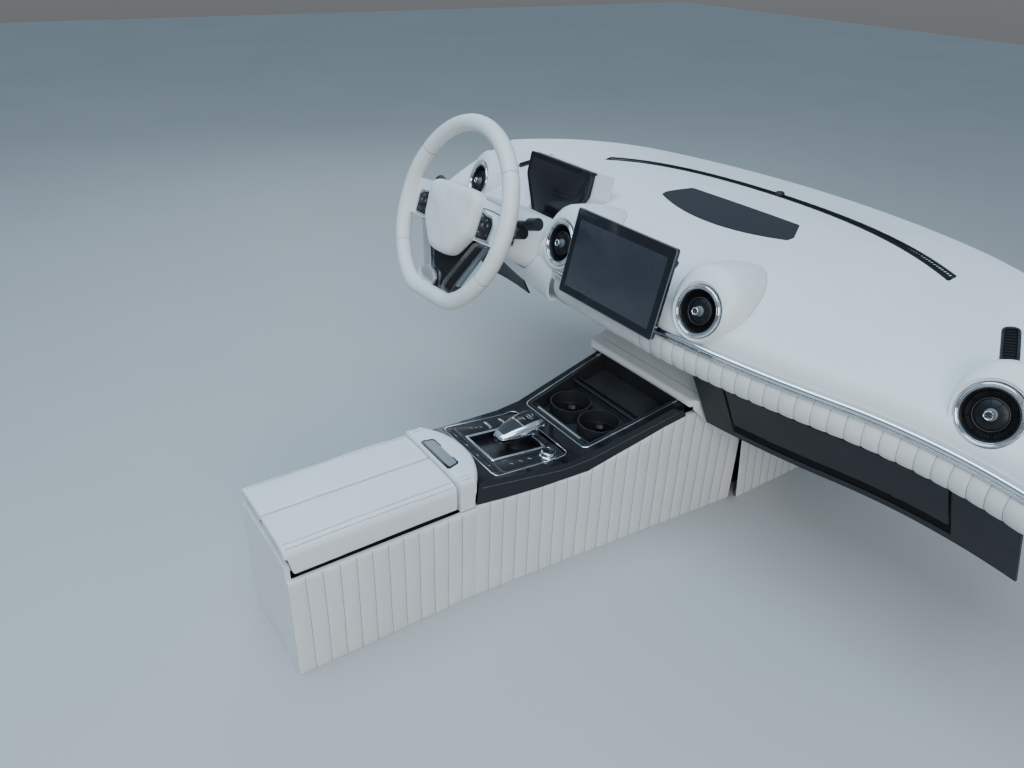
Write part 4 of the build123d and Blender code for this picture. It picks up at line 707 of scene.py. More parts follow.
def sewn(name, body, sides, y0, y1, tree):
    """Two stitched lines with their grooves along the outer edges of the armrest."""
    grooves, thread = Shape(), Shape()
    for side in sides:
        for x in (77.5, 86.0):
            path = hits(tree, [(side * x, y, 400) for y in np.arange(y0, y1 + 0.1, 3.0)], (0, 0, -1))
            stitches(thread, [p + Z * 0.1 for p in path], Z)
            grooves.sweep([p - Z * 0.15 for p in path], bar(0.75, 0, 0.28, 0.5))
    piece(name.format("seam"), grooves, "seam", body=body)
    piece(name.format("thread"), thread, "thread", body=body)


for side, word in ((1, "right"), (-1, "left")):
    obj = piece(f"armrest_{word}", lid(side), "leather", (f"lid_{word}",), 60, body=f"lid_{word}")
    swell(obj, lid_limit)
    smoothed(obj)
    sewn("armrest_{}_" + word, f"lid_{word}", (side,), -916, -639, mesh_tree(obj))


def surround():
    """Leather-covered block in front of the lids, bowed towards the selector."""
    flank = [(93.0, -630.0), (93.0, -616.0), (93.0, -602.6), (93.0, -601.6)]
    sweep = asin(93 / 144.2)
    bow = [(144.2 * sin(a), -710.2 + 144.2 * cos(a)) for a in (sweep * (1 - 2 * k / 28) for k in range(29))]
    base = flank + bow + [(-x, y) for x, y in reversed(flank)] + [(x, -630.0) for x in np.linspace(-86, 86, 40)]
    shape, rings = Shape(), []

    def low(x, y):
        if y < CORNER_Y:
            return 191.4
        return 219.6 if abs(x) > 88.2 else top_z(y) + 0.6
    for k, (move, fall) in enumerate(((0, None), (0, 30), (0, 16), (0, 9), (1.0, 4.6), (3.2, 1.9), (6.4, 0.5), (9, 0))):
        rings.append(shape.ring([
            (xi, max(yi, -629.9), low(x, y) if fall is None else max(low(x, y) + 0.2 * k, LID_TOP - fall))
            for (x, y), (xi, yi) in zip(base, inset(base, move))]))
    for k in (0.8, 0.55, 0.3, 0.1):
        rings.append(shape.ring([(x * k, -608 + (y + 608) * k, LID_TOP + 0.5 * (1 - k)) for x, y in inset(base, 9)]))
    shape.skin(rings)
    shape.faces.append(tuple(rings[-1]))
    shape.join(rings[0], shape.ring([(x, y, low(x, y)) for x, y in inset(base, 5.5)]))
    return shape


obj = piece("armrest_front", surround(), "leather", ("armrest_surround",), 50)
swell(obj, lambda p: 0.1 if p.y < -626 or p.z < 236 else 0.7)
sewn("armrest_front_{}", "cockpit", (1, -1), -628, -607, mesh_tree(obj))
border, inner = quad(49, -625.5, 43, -600.5, 7), quad(44, -621.5, 39, -603.5, 5)
piece("latch_frame", Shape().slab(border, level(0, 0, LID_TOP), -2.0, 1.0, 0.7), "gloss")
piece("latch_face", Shape().slab(inner, level(0, 0, LID_TOP), 0.5, 1.8, 0.9, 0.5), "latch", ("armrest_latch",))


# Steering wheel

RIM_R = 173
SEAMS = (36.0, 144.0, 212.0, 328.0)
ON_WHEEL = {"body": "steering_wheel"}


def rim_path():
    """Places round the rim's centre line, starting at the foot."""
    hinge = degrees(atan2(-91.0, 48.25))

    def arc(x, y, radius, start, sweep, count):
        angles = (radians(start + sweep * k / count) for k in range(1, count + 1))
        return [(x + radius * cos(t), y + radius * sin(t)) for t in angles]
    return ([(48.25 * k / 6, -161.0) for k in range(7)] + arc(48.25, -91, 70, -90, hinge + 90, 8)
            + arc(0, 0, RIM_R, hinge, 180 - 2 * hinge, 90) + arc(-48.25, -91, 70, 180 - hinge, hinge + 90, 8)
            + [(-48.25 * (1 - k / 6), -161.0) for k in range(1, 6)])


def hump(angle, middle, width):
    """Smooth rise about an angle in degrees."""
    return exp(-((angle - middle + 180) % 360 - 180) ** 2 / width)


def rim():
    """Padded rim with four cross seams, and the places of the sewn line round its inside."""
    shape, rings, path = Shape(), [], refined(rim_path(), 3.4)
    sewing, count = [], len(path)
    for i, (x, y) in enumerate(path):
        angle = degrees(atan2(y, x)) % 360
        along = (Vector(path[(i + 1) % count]) - Vector(path[i - 1])).normalized()
        out = Vector((along.y, -along.x))
        thick = 15.9 + 0.25 * ripple(x, y, 0, 6, 45) - 0.8 * sum(hump(angle, s, 0.45) for s in SEAMS)
        grip = 1.2 * sum(hump(angle, s, 90.0) for s in (24.0, 156.0))
        ring = []
        for t in turns(28):
            r = thick + grip * max(0.0, sin(t)) * 0.8 - 0.7 * hump(degrees(t), 152, 60.0)
            p = Vector((x, y)) + out * r * cos(t)
            ring.append(on_wheel(p.x, p.y, r * sin(t)))
        p = Vector((x, y)) + out * 15.6 * cos(radians(152))
        sewing.append((p.x, p.y, 15.6 * sin(radians(152))))
        rings.append(shape.ring(ring))
    shape.skin(rings, loop=True)
    return shape, sewing


shape, sewing = rim()
piece("rim_leather", shape, "rim", ("wheel_rim",), 80, **ON_WHEEL)
thread, dark = Shape(), Shape()
for i in range(0, len(sewing) - 2, 2):
    (x0, y0, h0), (x1, y1, h1) = sewing[i:i + 2]
    a, b = on_wheel(x0 * 1.006, y0 * 1.006, h0 + 1.1), on_wheel(x1 * 0.994, y1 * 0.994, h1 - 1.3)
    thread.tube([a, a.lerp(b, 0.5), b], 0.38, sides=5, up=Vector((1, 0.2, 0)))
piece("rim_thread", thread, "thread", **ON_WHEEL)
for t in map(radians, SEAMS):
    loop = [on_wheel((RIM_R + 15.25 * cos(a)) * cos(t), (RIM_R + 15.25 * cos(a)) * sin(t), 15.25 * sin(a))
            for a in turns(40)]
    dark.tube(loop, 0.45, True, Vector((0.3, 0.9, 0.2)), 6)
piece("rim_seams", dark, "seam", **ON_WHEEL)

HUB = ((40, 57), (74, 54), (87, 44), (85, 14), (80, -28), (42, -72), (20, -79), (-20, -79), (-42, -72), (-80, -28),
       (-85, 14), (-87, 44), (-74, 54), (-40, 57))


def hub():
    """Crowned hub cover with soft shoulders."""
    shape, outline = Shape(), refined(rounded(HUB, 13, 5), 4.0)
    rings = [shape.ring([on_wheel(a, b, h) for a, b in inset(outline, d)]) for d, h in
             ((0, -17.6), (0, -8), (0.2, 2), (1.6, 8), (4.6, 12.4), (9, 15.2), (15, 16.8))]
    for k in (0.9, 0.78, 0.66, 0.52, 0.38, 0.24, 0.1):
        rings.append(shape.ring([on_wheel(a * k, -6 + (b + 6) * k, 16.8 + 3.0 * (1 - k * k))
                                 for a, b in inset(outline, 15)]))
    shape.skin(rings)
    shape.faces += [tuple(rings[-1]), tuple(reversed(rings[0]))]
    return shape


obj = piece("hub_cover", hub(), "rim", ("wheel_cover",), 60, **ON_WHEEL)
swell(obj, lambda p: 0.15 if (p - Vector(WHEEL)).length > 78 else 0.8)
smoothed(obj)
line = [on_wheel(a, b, -3.6) for a, b in ((82, 29), (96, 30.5), (120, 30.2), (140, 28.5), (156, 26.5))]
piece("arm_joints", Shape().sweep(line, bar(0.8, -0.5, 0.25), WHEEL_OUT), "dark", **ON_WHEEL)

# Switches: each mark is a place with its strokes, each key a place with its width and height
DASH = ((-2.6, 0), (2.6, 0))
MARKS = ((96, 17, DASH, ((0, -2.6), (0, 2.6))), (96, -13, DASH),
         (119, 3, ((-1.6, -2.4), (1.8, 0)), ((1.8, 0), (-1.6, 2.4))),
         (103, 2, ((1.6, -2.4), (-1.8, 0)), ((-1.8, 0), (1.6, 2.4))),
         (122, -14, ((-0.8, 0), (0.8, 0))), (112, 12, ((-1.8, -1.8), (1.8, 1.8))))
KEYS = ((108, 13, 30, 11), (108, -15, 34, 11), (110, -1, 34, 9))
marks, keys, shape = Shape(), Shape(), Shape()
for side in (1, -1):
    for a, b, *strokes in MARKS:
        for stroke in strokes:
            marks.sweep([on_wheel(side * a + x, b + y, 1.05) for x, y in stroke], bar(0.38, -0.4, 0.12), WHEEL_OUT)
    for a, b, wide, tall in KEYS:
        keys.slab(rounded([(side * (a - wide / 2), b - tall / 2), (side * (a + wide / 2), b - tall / 2),
                           (side * (a + wide / 2 - 3), b + tall / 2), (side * (a - wide / 2), b + tall / 2)], 2),
                  on_wheel, -1.5, 0.9, 0.6)
    loop = rounded([(side * 89, 22), (side * 127, 20), (side * 134, 6), (side * 130, -21), (side * 90, -26)], 4)
    shape.sweep([on_wheel(a, b, -0.6) for a, b in refined(loop, 4)], ridge(2.6, -3.2, 0.5, 1.8, 1.1), WHEEL_OUT, True)
piece("switch_keys", keys, "soft_black", **ON_WHEEL)
piece("switch_frames", shape, "leg_silver", **ON_WHEEL)
piece("switch_marks", marks, "mark", **ON_WHEEL)

# The right leg is black with dark-silver edges; the left one stays bright and ends in a silver foot
for name, material, radius, step, heights, outline in (
        ("leg_right_edge", "dark_silver", 5, 6, (-9.2, -7.6, 1.0),
         [(116, -34), (80, -37), (22, -124), (16, -144), (54, -148), (61, -126)]),
        ("leg_right_panel", "gloss", 4, 6, (-8.4, -6.4, 0.8, 0.6),
         [(112, -39), (91, -41), (35, -124), (29, -142), (50, -146), (57, -126)]),
        ("leg_left_plate", "leg_silver", 5, 6, (-9.2, -7.0, 1.2, 0.8),
         [(-114, -35), (-80, -38), (-36, -112), (-28, -142), (-56, -146), (-63, -122)]),
        ("leg_foot", "leg_silver", 12, 4, (-12, -4.0, 3.4, 2.2),
         [(-66, -120), (-40, -112), (-16, -118), (-7, -134), (-14, -150), (-42, -155), (-64, -148), (-74, -134)]),
        ("leg_shade", "dark", 6, 6, (-15.5, -12.6, 0.8), [(-72, -34), (72, -34), (30, -112), (-32, -112)])):
    piece(name, Shape().slab(refined(rounded(outline, radius), step), on_wheel, *heights), material, **ON_WHEEL)


# Air vents and their pods

INNER_POD = ((-6, 43.4), (-3.6, 44.6), (-3.2, 46.4), (-1, 48.2), (4, 52), (10, 57), (18, 61.6), (28, 64.6), (40, 65.2),
             (54, 63.8), (70, 61.6), (86, 58.8), (102, 54.6), (118, 49.2), (132, 43.6), (146, 37.6), (160, 29),
             (170, 19), (176, 7))
OUTER_POD = ((-6, 43.4), (-3.6, 44.6), (-3.2, 46.4), (-1, 48), (4, 51), (10, 54.6), (18, 58), (28, 60.4), (38, 60.6),
             (48, 59.4), (58, 56.4), (66, 51.4), (73, 44), (79, 34), (83, 22), (85, 8))
RING = ((42.6, -4.2), (42.6, -2.4), (42.3, -0.9), (41.3, 0.3), (39.9, 0.7), (38.8, 0.1), (38.3, -1.1), (38.0, -2.5),
        (37.6, -2.6), (37.2, -1.8), (36.5, -1.1), (35.7, -1.2), (35.1, -2.2), (35.0, -4.2))
CUP = ((34.8, -4.6), (34.6, -2.8), (33.9, -2.5), (33.2, -3.2), (32.6, -8.0), (31.0, -12.0), (24.0, -13.0),
       (22.6, -9.4), (21.8, -8.4), (12.0, -7.0), (9.2, -6.6), (8.4, -7.6), (8.2, -10.0), (0.0, -10.0))
HOOP = ((22.3, -8.8), (22.3, -6.6), (21.9, -6.3), (21.5, -6.6), (21.5, -8.8))
TUBE = ((8.4, -9.0), (8.4, -5.0), (7.8, -4.2), (6.4, -4.0), (6.1, -3.0), (5.9, 3.6))
KNOB = ((5.9, 3.2), (6.3, 4.4), (6.2, 5.4), (5.5, 5.9), (4.7, 5.5), (4.4, 4.4), (4.4, 1.0), (0.0, 0.8))
LENS = ((4.3, 1.2), (4.1, 2.4), (2.8, 3.2), (0.0, 3.5))


def vent_out(side, yaw, pitch):
    """Direction that a vent faces."""
    a, b = radians(yaw), radians(pitch)
    return Vector((side * sin(a) * cos(b), -cos(a) * cos(b), sin(b)))


def pod(shape, side, x, y, z, yaw, pitch):
    """Bullet-shaped fairing that grows out of the pad behind a vent."""
    inner, out, rings = x < CENTRE_HALF, vent_out(side, yaw, pitch), []
    axis = Vector((-0.08 * side if inner else 0.0, cos(radians(4)), sin(radians(4)))).normalized()
    for s, radius in INNER_POD if inner else OUTER_POD:
        w = min(1.0, max(0.0, s / 50.0))
        facing = (out * -(1 - w) + axis * w).normalized()
        across = facing.cross(Z).normalized()
        over = across.cross(facing)
        middle = Vector((side * x, y, z)) + (axis if s > 0 else out) * s
        rings.append(shape.ring([middle + across * radius * cos(t) + over * radius * sin(t) for t in turns(72)]))
    shape.skin(rings)
    shape.faces.append(tuple(rings[-1]))


pods = Shape()
rings, cups, hoops, tubes, knobs, lenses = (Shape() for _ in range(6))
for side, x, y, z, yaw, pitch in VENTS:
    pod(pods, side, x, y, z, yaw, pitch)
    out = vent_out(side, yaw, pitch)
    across = Z.cross(out).normalized()
    place = placer((side * x, y, z), across, out.cross(across))
    rings.lathe(RING, place, 96, True)
    cups.lathe(CUP, place, 72)
    hoops.lathe(HOOP, place, 72, True)
    for t in turns(8, 0.5):
        cups.sweep([place(r * cos(t), r * sin(t), -6.9 - (r - 9) * 0.02) for r in (9, 16, 24, 32.4)],
                   bar(0.3, -3.5, 0.2), out)
    for t in turns(40):
        cups.sweep([place(r * cos(t), r * sin(t), -9.6) for r in (22.8, 32.2)], bar(0.3, -3.0, 0.4, 0.2), out)
    tubes.lathe(TUBE, place, 40)
    knobs.lathe(KNOB, place, 40)
    lenses.lathe(LENS, place, 24)
POD_TREE = BVHTree.FromPolygons([Vector(v) for v in pods.verts], pods.faces)
piece("pods", pods, "leather", ("vent_pods",), 60)
piece("vent_bezels", rings, "chrome", ("vent_rings",), 50)
piece("vent_cups", cups, "vent_black", ("vent_cores",), 50)
piece("vent_hoops", hoops, "hoop", sharp=40)
piece("vent_tubes", tubes, "grey", (), 50, "satin_silver")
piece("vent_pulls", knobs, "silver", ("vent_knobs",), 50)
piece("vent_lenses", lenses, "display")


# Displays

SCREEN_TILT = 13.4
on_screen = tilted((0, -253, 499), SCREEN_TILT)
behind = placer(on_screen(0, 0, -0.1), (1, 0, 0), (0, -sin(radians(SCREEN_TILT)), -cos(radians(SCREEN_TILT))))
view = quad(111.5, -64, 111.5, 60, 2, -0.5)
piece("screen_display", Shape().slab(view, on_screen, 10.9, 11.25, 0.2), "display", slot="screen_glass")
lip = [on_screen(a, b, 10.4) for a, b in refined(quad(125, -78.5, 125, 78.5, 5), 8)]
piece("screen_lip", Shape().tube(lip, 0.9, True, normal_of(on_screen)), "grey")
shape = Shape()
for k in range(9):
    shape.slab(quad(3, -66, 3, -46, 2, -48 + 12 * k), behind, 0, 0.8, 0.4)
piece("screen_back_ribs", shape, "black", slot="gloss_black")

on_cluster = tilted((-331, -146, 540), 12.5)
up = normal_of(on_cluster)
face = rounded([(-91, 51), (91, 51), (91, 15), (47, -53), (-47, -53), (-91, 15)], 5)
piece("cluster_display", Shape().slab(face, on_cluster, -0.3, 0.35, 0.25), "display_dark")
edge = rounded([(-100, 61), (100, 61), (100, 14), (52, -62), (-52, -62), (-100, 14)], 6)
shape = Shape().tube([on_cluster(a, b, -0.6) for a, b in refined(edge, 8)], 1.1, True, up)
shape.sweep([on_cluster(a, -2 + 0.02 * a, 0.3) for a in np.linspace(-90, 88, 24)], bar(0.5, -0.3, 0.35, 0.3), up)
piece("cluster_edge", shape, "black", slot="gloss_black")
flap = rounded([(-110, 45), (-98, 44), (-98, 52), (-107, 52.6)], 2)
piece("cluster_flap", Shape().slab(flap, on_cluster, -16, -13, 0.6), "black", slot="gloss_black")


# Inserts in the pad

SLOT_R, SLOT_Y = 989.0, -835.0


def on_slot(x):
    """Place on the pad's skin along the defroster's arc, from its surface on both sides."""
    y = SLOT_Y + sqrt(SLOT_R ** 2 - x ** 2)
    found = [hit.z for hit in (drop(x, y + 17), drop(x, y - 17)) if hit]
    return Vector((x, y, sum(found) / len(found)))


def slot_out(p):
    return Vector((p.x, p.y - SLOT_Y, 0)).normalized()


shape, fins = Shape(), Shape()
crest = [on_slot(x) for x in np.linspace(-408, 408, 90)]
for move in (-9.4, 9.4):
    shape.sweep([p + slot_out(p) * move for p in crest], ridge(1.6, -2.5, 0.3, 1.0, 0.8))
for p in (crest[0], crest[-1]):
    shape.sweep([p + slot_out(p) * move for move in (-10, 0, 10)], ridge(1.8, -2.5, 0.3, 1.0, 0.8))
shape.sweep([p - Z * 2.7 for p in crest], bar(9.6, -0.2, 0.3))
for x in np.linspace(-402, 402, 135):
    p = Vector((x, SLOT_Y + sqrt(SLOT_R ** 2 - x ** 2), follow([(q.x, q.z) for q in crest], x)))
    fins.sweep([p - slot_out(p) * 8.6, p + slot_out(p) * 8.6], bar(0.6, -2.4, -0.3, 0.45), Vector((0.25, 0, 1)))
piece("defroster_frame", shape, "dark", ("defroster_grille",))
piece("defroster_fins", fins, "black")

shape, sunk = Shape(), Shape()
outline = quad(41, -11.5, 41, 11.5, 10)
for side in (1, -1):
    t = radians(-side * 60.0)
    across, deep = Vector((cos(t), sin(t), 0)), Vector((-sin(t), cos(t), 0))
    middle = Vector((side * 556.0, -28.0, 0))
    spots = [drop(*(middle + across * a + deep * b).xy) for a, b in ((-46, 0), (46, 0), (0, -17), (0, 17))]
    middle.z = sum(spot.z for spot in spots) / 4
    place = placer(middle, spots[1] - spots[0], spots[3] - spots[2])
    up = normal_of(place)
    shape.tube([place(a, b, 0.2) for a, b in refined(inset(outline, 1.6), 5)], 1.9, True, up)
    sunk.slab(inset(outline, 1), place, -2.9, -2.3, 0.2)
    for k in range(11):
        a = -32 + 6.4 * k
        sunk.sweep([place(a, -9, -0.6), place(a, 9, -0.6)], bar(0.7, -2, 0.5, 0.5), up)
piece("demister_frames", shape, "black", ("side_demisters",))
piece("demister_fins", sunk, "dark")

BOW_R = (155.0 ** 2 + 34.0 ** 2) / 68.0
outline = [(-155.0, -10.0), (-157.0, 4.0), (-131.0, 50.0), (131.0, 50.0), (157.0, 4.0), (155.0, -10.0)]
outline += [(x, -44 + BOW_R - sqrt(BOW_R ** 2 - x ** 2)) for x in np.linspace(140, -140, 40)]
line = [drop(x, y, ("speaker_grille", "dash_pad")) for x, y in refined(inset(rounded(outline, 5), 0.8), 6)]
piece("speaker_edge", Shape().tube([p - Z * 0.1 for p in line], 0.9, True), "black")


def proud(p):
    """Whether a pod stands above the pad at a place."""
    over, pad = hits(POD_TREE, [(p.x, p.y, 900)], (0, 0, -1)), drop(p.x, p.y)
    return bool(over) and pad is not None and over[0].z > pad.z - 0.05


# Seams where the vent pods meet the pad
shape = Shape()
for side, x, y, *_ in VENTS:
    middle, line = Vector((side * x, y + 62.0, 0)), []
    for k in range(-13, 14):
        t = radians(90 + k * 7.6)
        ray, low, high = Vector((cos(t), sin(t), 0)), 6.0, 125.0
        if proud(middle + ray * low):
            for _ in range(14):
                half = (low + high) / 2
                low, high = (half, high) if proud(middle + ray * half) else (low, half)
            hit = drop(*(middle + ray * low).xy)
            if hit:
                line.append(hit + Z * 0.05)
    if len(line) > 4:
        shape.tube(line, 0.5, sides=6)
piece("pod_seams", shape, "seam")


# Console

def strip(shape, outline, wide, tall, closed=True, lift=0.0):
    """Raised line on the trim's surface along a plan outline."""
    path = [on_trim(x, y, lift) for x, y in (refined(outline, 6.0) if closed else outline)]
    return shape.sweep(path, ridge(wide / 2, -0.8, tall * 0.6, wide * 0.3, tall), Z, closed)


def panel(shape, outline, low, high, bevel=0.6):
    """Plate that follows the bends of the trim's surface."""
    flat, work = Shape().slab(refined(outline, 8.0), lambda a, b, h: (a, b, h), low, high, bevel), bmesh.new()
    corners = [work.verts.new(v) for v in flat.verts]
    for face in flat.faces:
        work.faces.new([corners[i] for i in face])
    for bend, _ in TRIM_TOP[1:3]:
        whole = work.verts[:] + work.edges[:] + work.faces[:]
        bmesh.ops.bisect_plane(work, geom=whole, plane_co=(0, bend, 0), plane_no=(0, 1, 0))
    work.verts.index_update()
    start = len(shape.verts)
    shape.verts.extend(tuple(on_trim(*v.co)) for v in work.verts)
    shape.faces.extend(tuple(start + v.index for v in face.verts) for face in work.faces)
    work.free()
    return shape


silver, fine, ears, pill = Shape(), Shape(), Shape(), quad(76, -558, 79, -543, 6)
strip(silver, quad(91, -374, 110, -166, 12), 2.8, 1.2)
strip(silver, quad(86, -559, 84, -404, 13), 2.0, 0.9, lift=0.2)
for side in (1, -1):
    ear = rounded([(side * 46, -540), (side * 82, -541), (side * 80, -410), (side * 46, -408)], 9)
    panel(fine, inset(ear, 1), -0.4, 0.1, 0.3)
    panel(ears, inset(ear, 2.2), -0.4, 0.7, 0.5)
panel(ears, pill, -0.4, 0.5, 0.4)
piece("trim_frames", silver, "silver")
piece("plate_frames", fine, "dark_silver")
piece("plate_ears", ears, "soft_black")
piece("pill_outline", strip(Shape(), pill, 1.2, 1.0, lift=0.2), "dark_silver")
keys, marks, toggles, ribs = Shape(), Shape(), Shape(), Shape()
for k, mark in enumerate((((-4, 0), (4, 0)), ((-3, -0.5), (0, 2), (3, -0.5)), ((-3, 0), (3, 0)), ((0, -2), (0, 2)))):
    x = -54 + 36 * k
    panel(keys, quad(16, -555.5, 16, -545.5, 2, x), 0.2, 1.2, 0.5)
    strip(marks, [(x + a, -550.5 + b) for a, b in mark], 0.8, 0.3, False, 1.15)
for k in range(3):
    y = -512.0 + 19 * k
    strip(marks, [(61.5, y - 2.2), (66.5, y + 2.2)], 0.9, 0.3, False, 0.65)
    strip(marks, [(-68.0 + 2 * k, -512 + 9 * k), (-63.0 + 2 * k, -510 + 9 * k)], 0.8, 0.3, False, 0.65)
    strip(ribs, [(-36.0, -424 + 4.6 * k), (36.0, -424 + 4.6 * k)], 2.4, 1.2, False)
piece("plate_keys", keys, "black", ("console_buttons",), slot="gloss_black")
piece("plate_marks", marks, "mark")
for y in (-479.0, -447.0):
    panel(toggles, quad(11, y - 3.4, 11, y + 3.4, 3, -60), -0.5, 4.2, 1.6)
piece("plate_toggles", toggles, "silver")
piece("well_frame", strip(Shape(), quad(42.5, -535.5, 42.5, -427, 3), 5.4, 2.0, lift=-0.2), "silver")
piece("well_floor", panel(Shape(), quad(39.5, -532.5, 39.5, -430.2, 2), -12.4, -10.6), "soft_black")
piece("well_ribs", ribs, "dark_silver")

# Selector lever: rows of the head's section are its place along, its lift, its width and its height
LEVER_Y = -462.0
BOOT = ((18, -10.6), (17, -9.8), (15, -8.6), (13.8, -5), (13.2, 2), (13.0, 12))
HEAD = ((-39, 15, 13, 9), (-37.5, 15, 20, 14), (-33, 15.4, 27, 19), (-22, 16.8, 35, 24), (-8, 19.2, 43, 28),
        (8, 21.6, 49, 30.5), (24, 23.6, 52, 31.5), (38, 24.6, 51, 30), (47, 24.8, 46, 26), (52, 24.8, 36, 19),
        (54, 24.8, 22, 11))
HALF = ((0, 1.0), (0.35, 0.99), (0.62, 0.95), (0.80, 0.86), (0.92, 0.70), (1.0, 0.44), (1.02, 0.12), (1.0, -0.22),
        (0.93, -0.55), (0.8, -0.8), (0.56, -0.95), (0.28, -0.99), (0, -1.0))
piece("lever_boot", Shape().lathe(BOOT, level(*on_trim(0, LEVER_Y)), 40), "black")


def eased(table, steps):
    """Rows between those of a table, on smooth curves through them."""
    rows, points = [], [np.array(row, dtype=float) for row in (table[0], *table, table[-1])]
    for p0, p1, p2, p3 in zip(points, points[1:], points[2:], points[3:]):
        for t in (k / steps for k in range(steps)):
            rows.append(0.5 * (2 * p1 + (p2 - p0) * t + (2 * p0 - 5 * p1 + 4 * p2 - p3) * t * t
                               + (3 * p1 - p0 - 3 * p2 + p3) * t ** 3))
    return rows + [points[-1]]


SIDE = eased(HALF, 3)


def head_ring(row, part=None, grow=0.0):
    """Section of the selector's head: the whole way round, or the crown within a share of its width."""
    along, lift, wide, tall = row
    if part is None:
        loop = [(a, h) for a, h in SIDE] + [(-a, h) for a, h in reversed(SIDE[1:-1])]
    else:
        crown = [(a, h) for a, h in SIDE if a <= part and h > 0]
        loop = [(-a, h) for a, h in reversed(crown)] + crown[1:]
    return [(a * wide / 2, LEVER_Y + along, top_z(LEVER_Y) + lift + h * tall / 2 + grow) for a, h in loop]


shape, rows = Shape(), eased(HEAD, 6)
shape.skin([shape.ring(head_ring(row)) for row in eased(HEAD, 4)], caps=True)
shape.tube([on_trim(0, LEVER_Y, h) for h in (-8, 4, 16)], 12.2, up=Vector((0, 1, 0)), sides=28)
piece("lever_body", shape, "silver", ("selector_lever",), 60)
for name, material, start, end in (("lever_crown", "display", -31, 6.6), ("lever_top", "gloss", 7.2, 47)):
    shape, span = Shape(), [row for row in rows if start <= row[0] <= end]
    over, under = ([shape.ring(head_ring(row, 0.74, grow)) for row in span] for grow in (0.45, -1.4))
    shape.skin(over, False)
    shape.skin(under, False)
    for end in (0, -1):
        shape.join(over[end], under[end], False)
        for a, b, c, d in zip(over, over[1:], under, under[1:]):
            shape.faces.append((a[end], b[end], d[end], c[end]))
    piece(name, shape, material)
shape = Shape()
for along, half in ((20, 5), (26, 3.5), (32, 5), (38, 3)):
    row = min(rows, key=lambda row: abs(row[0] - along))
    high = top_z(LEVER_Y) + row[1] + row[3] / 2 + 0.45
    shape.sweep([Vector((x, LEVER_Y + row[0], high)) for x in (-half, half)], bar(0.5, -0.3, 0.12))
piece("lever_marks", shape, "mark")

DIAL = ((15.2, -0.4), (15.2, 2.0), (14.2, 2.8), (13.4, 3.2), (13.2, 8.4), (12.4, 10.0), (11.2, 10.4), (10.6, 9.6),
        (10.4, 6.0), (0, 6.0))
DIAL_CAP = ((10.3, 6.2), (10.2, 10.4), (9.4, 11.0), (7.6, 10.8), (6.6, 9.8), (5.4, 9.2), (0, 9.4))
on_knob = placer(on_trim(70, -439, 0), (1, 0, 0), (0, 1, -0.096))
piece("rotary_body", Shape().lathe(DIAL, on_knob, 64), "silver", ("rotary_knob",), 50)
piece("rotary_cap", Shape().lathe(DIAL_CAP, on_knob, 48), "gloss")

# Tray: bar, ledges, cup collars with their fingers, and mat
BAR_Y, CUP_X, CUP_Y = -361.5, 42.0, -301
shape = Shape().sweep([on_trim(x, BAR_Y, -1.2) for x in (-64, -30, 0, 30, 64)], ridge(2.4, -1.5, 0.9, 1.4, 1.6),
                      Vector((0, -0.2, 1)))
piece("tray_bar", shape, "silver")
ledges = Shape()
for y, deep, wide in ((-356.5, 3.4, 6.0), (-256.0, 7.0, 7.0), (-243.5, 9.5, 4.0)):
    half = 84 + (y + 368) * 0.095
    ledges.sweep([on_trim(x, y, -deep) for x in np.linspace(-half, half, 9)],
                 ridge(wide / 2, -6, -0.6, wide * 0.3, 0.2), Vector((0, -0.22, 1)))
for x in (-CUP_X, CUP_X):
    ledges.tube([Vector((x + 36.6 * cos(t), CUP_Y + 36.6 * sin(t), 203.5)) for t in turns(48)], 1.1, True)
    for t in (radians(45 + 90 * k) for k in range(4)):
        base, inward = Vector((x + 36 * cos(t), CUP_Y + 36 * sin(t), 0)), Vector((-cos(t), -sin(t), 0))
        finger = [base + inward * d + Z * z for d, z in ((0.5, 201.5), (6.5, 200.2), (9.5, 195.5), (9.0, 189.5))]
        ledges.sweep(finger, ridge(7, -0.9, 0.5, 5, 1.1))
piece("tray_moulding", ledges, "tray")
mat = Shape().slab(refined(quad(94, -239, 100, -173, 7), 8), lambda a, b, h: on_trim(a, b, h - 31.0), -0.4, 1.6, 0.7)
for k in range(31):
    mat.sweep([on_trim(-90 + 6 * k, y, -29.4) for y in (-236, -206, -176)], bar(1, -0.4, 0.5, 0.6))
piece("tray_mat", mat, "rubber")

# Fine joint line low on the trim's sides
line = Shape()
for side in (1, -1):
    starts = [(side * 220, y, top_z(y) - 10.5 - 3.0 * max(0.0, (y + 420) / 250.0)) for y in range(-596, -170, 8)]
    line.sweep(hits(mesh_tree(NODES["console_top_trim"]), starts, (-side, 0, 0)), bar(0.5, -0.3, 0.35),
               Vector((side, 0, 0.25)))
piece("trim_line", line, "dark_silver")

# Black strip that closes the view through the gap below the glovebox lid
shape = Shape()
shape.skin([shape.ring([on_face(x, deep, z) for deep, z in ((136, 222), (136, 262), (138, 262), (138, 222))])
            for x in np.linspace(192, 604, 48)], caps=True)
piece("glovebox_shade", shape, "dark")

# Seam on the bridge's lip and stitches on the knee panel's edges
lip = hits(mesh_tree(NODES["bridge_housing"]), [(x, -150, 700) for x in np.linspace(-132, 132, 60)], (0, 0, -1))
piece("panel_seams", Shape().tube([p for p in lip if p.z > 250], 0.45, sides=6), "seam")
thread = Shape()
for x in (-478.0, -190.0):
    edge = hits(mesh_tree(NODES["knee_panel"]), [(x, -600, z) for z in np.linspace(438, 376, 22)], (0, 1, 0))
    stitches(thread, [p + Vector((0, -0.1, 0)) for p in edge], Vector((0, -1, 0)))
piece("panel_thread", thread, "thread")


# Camera, light and floor

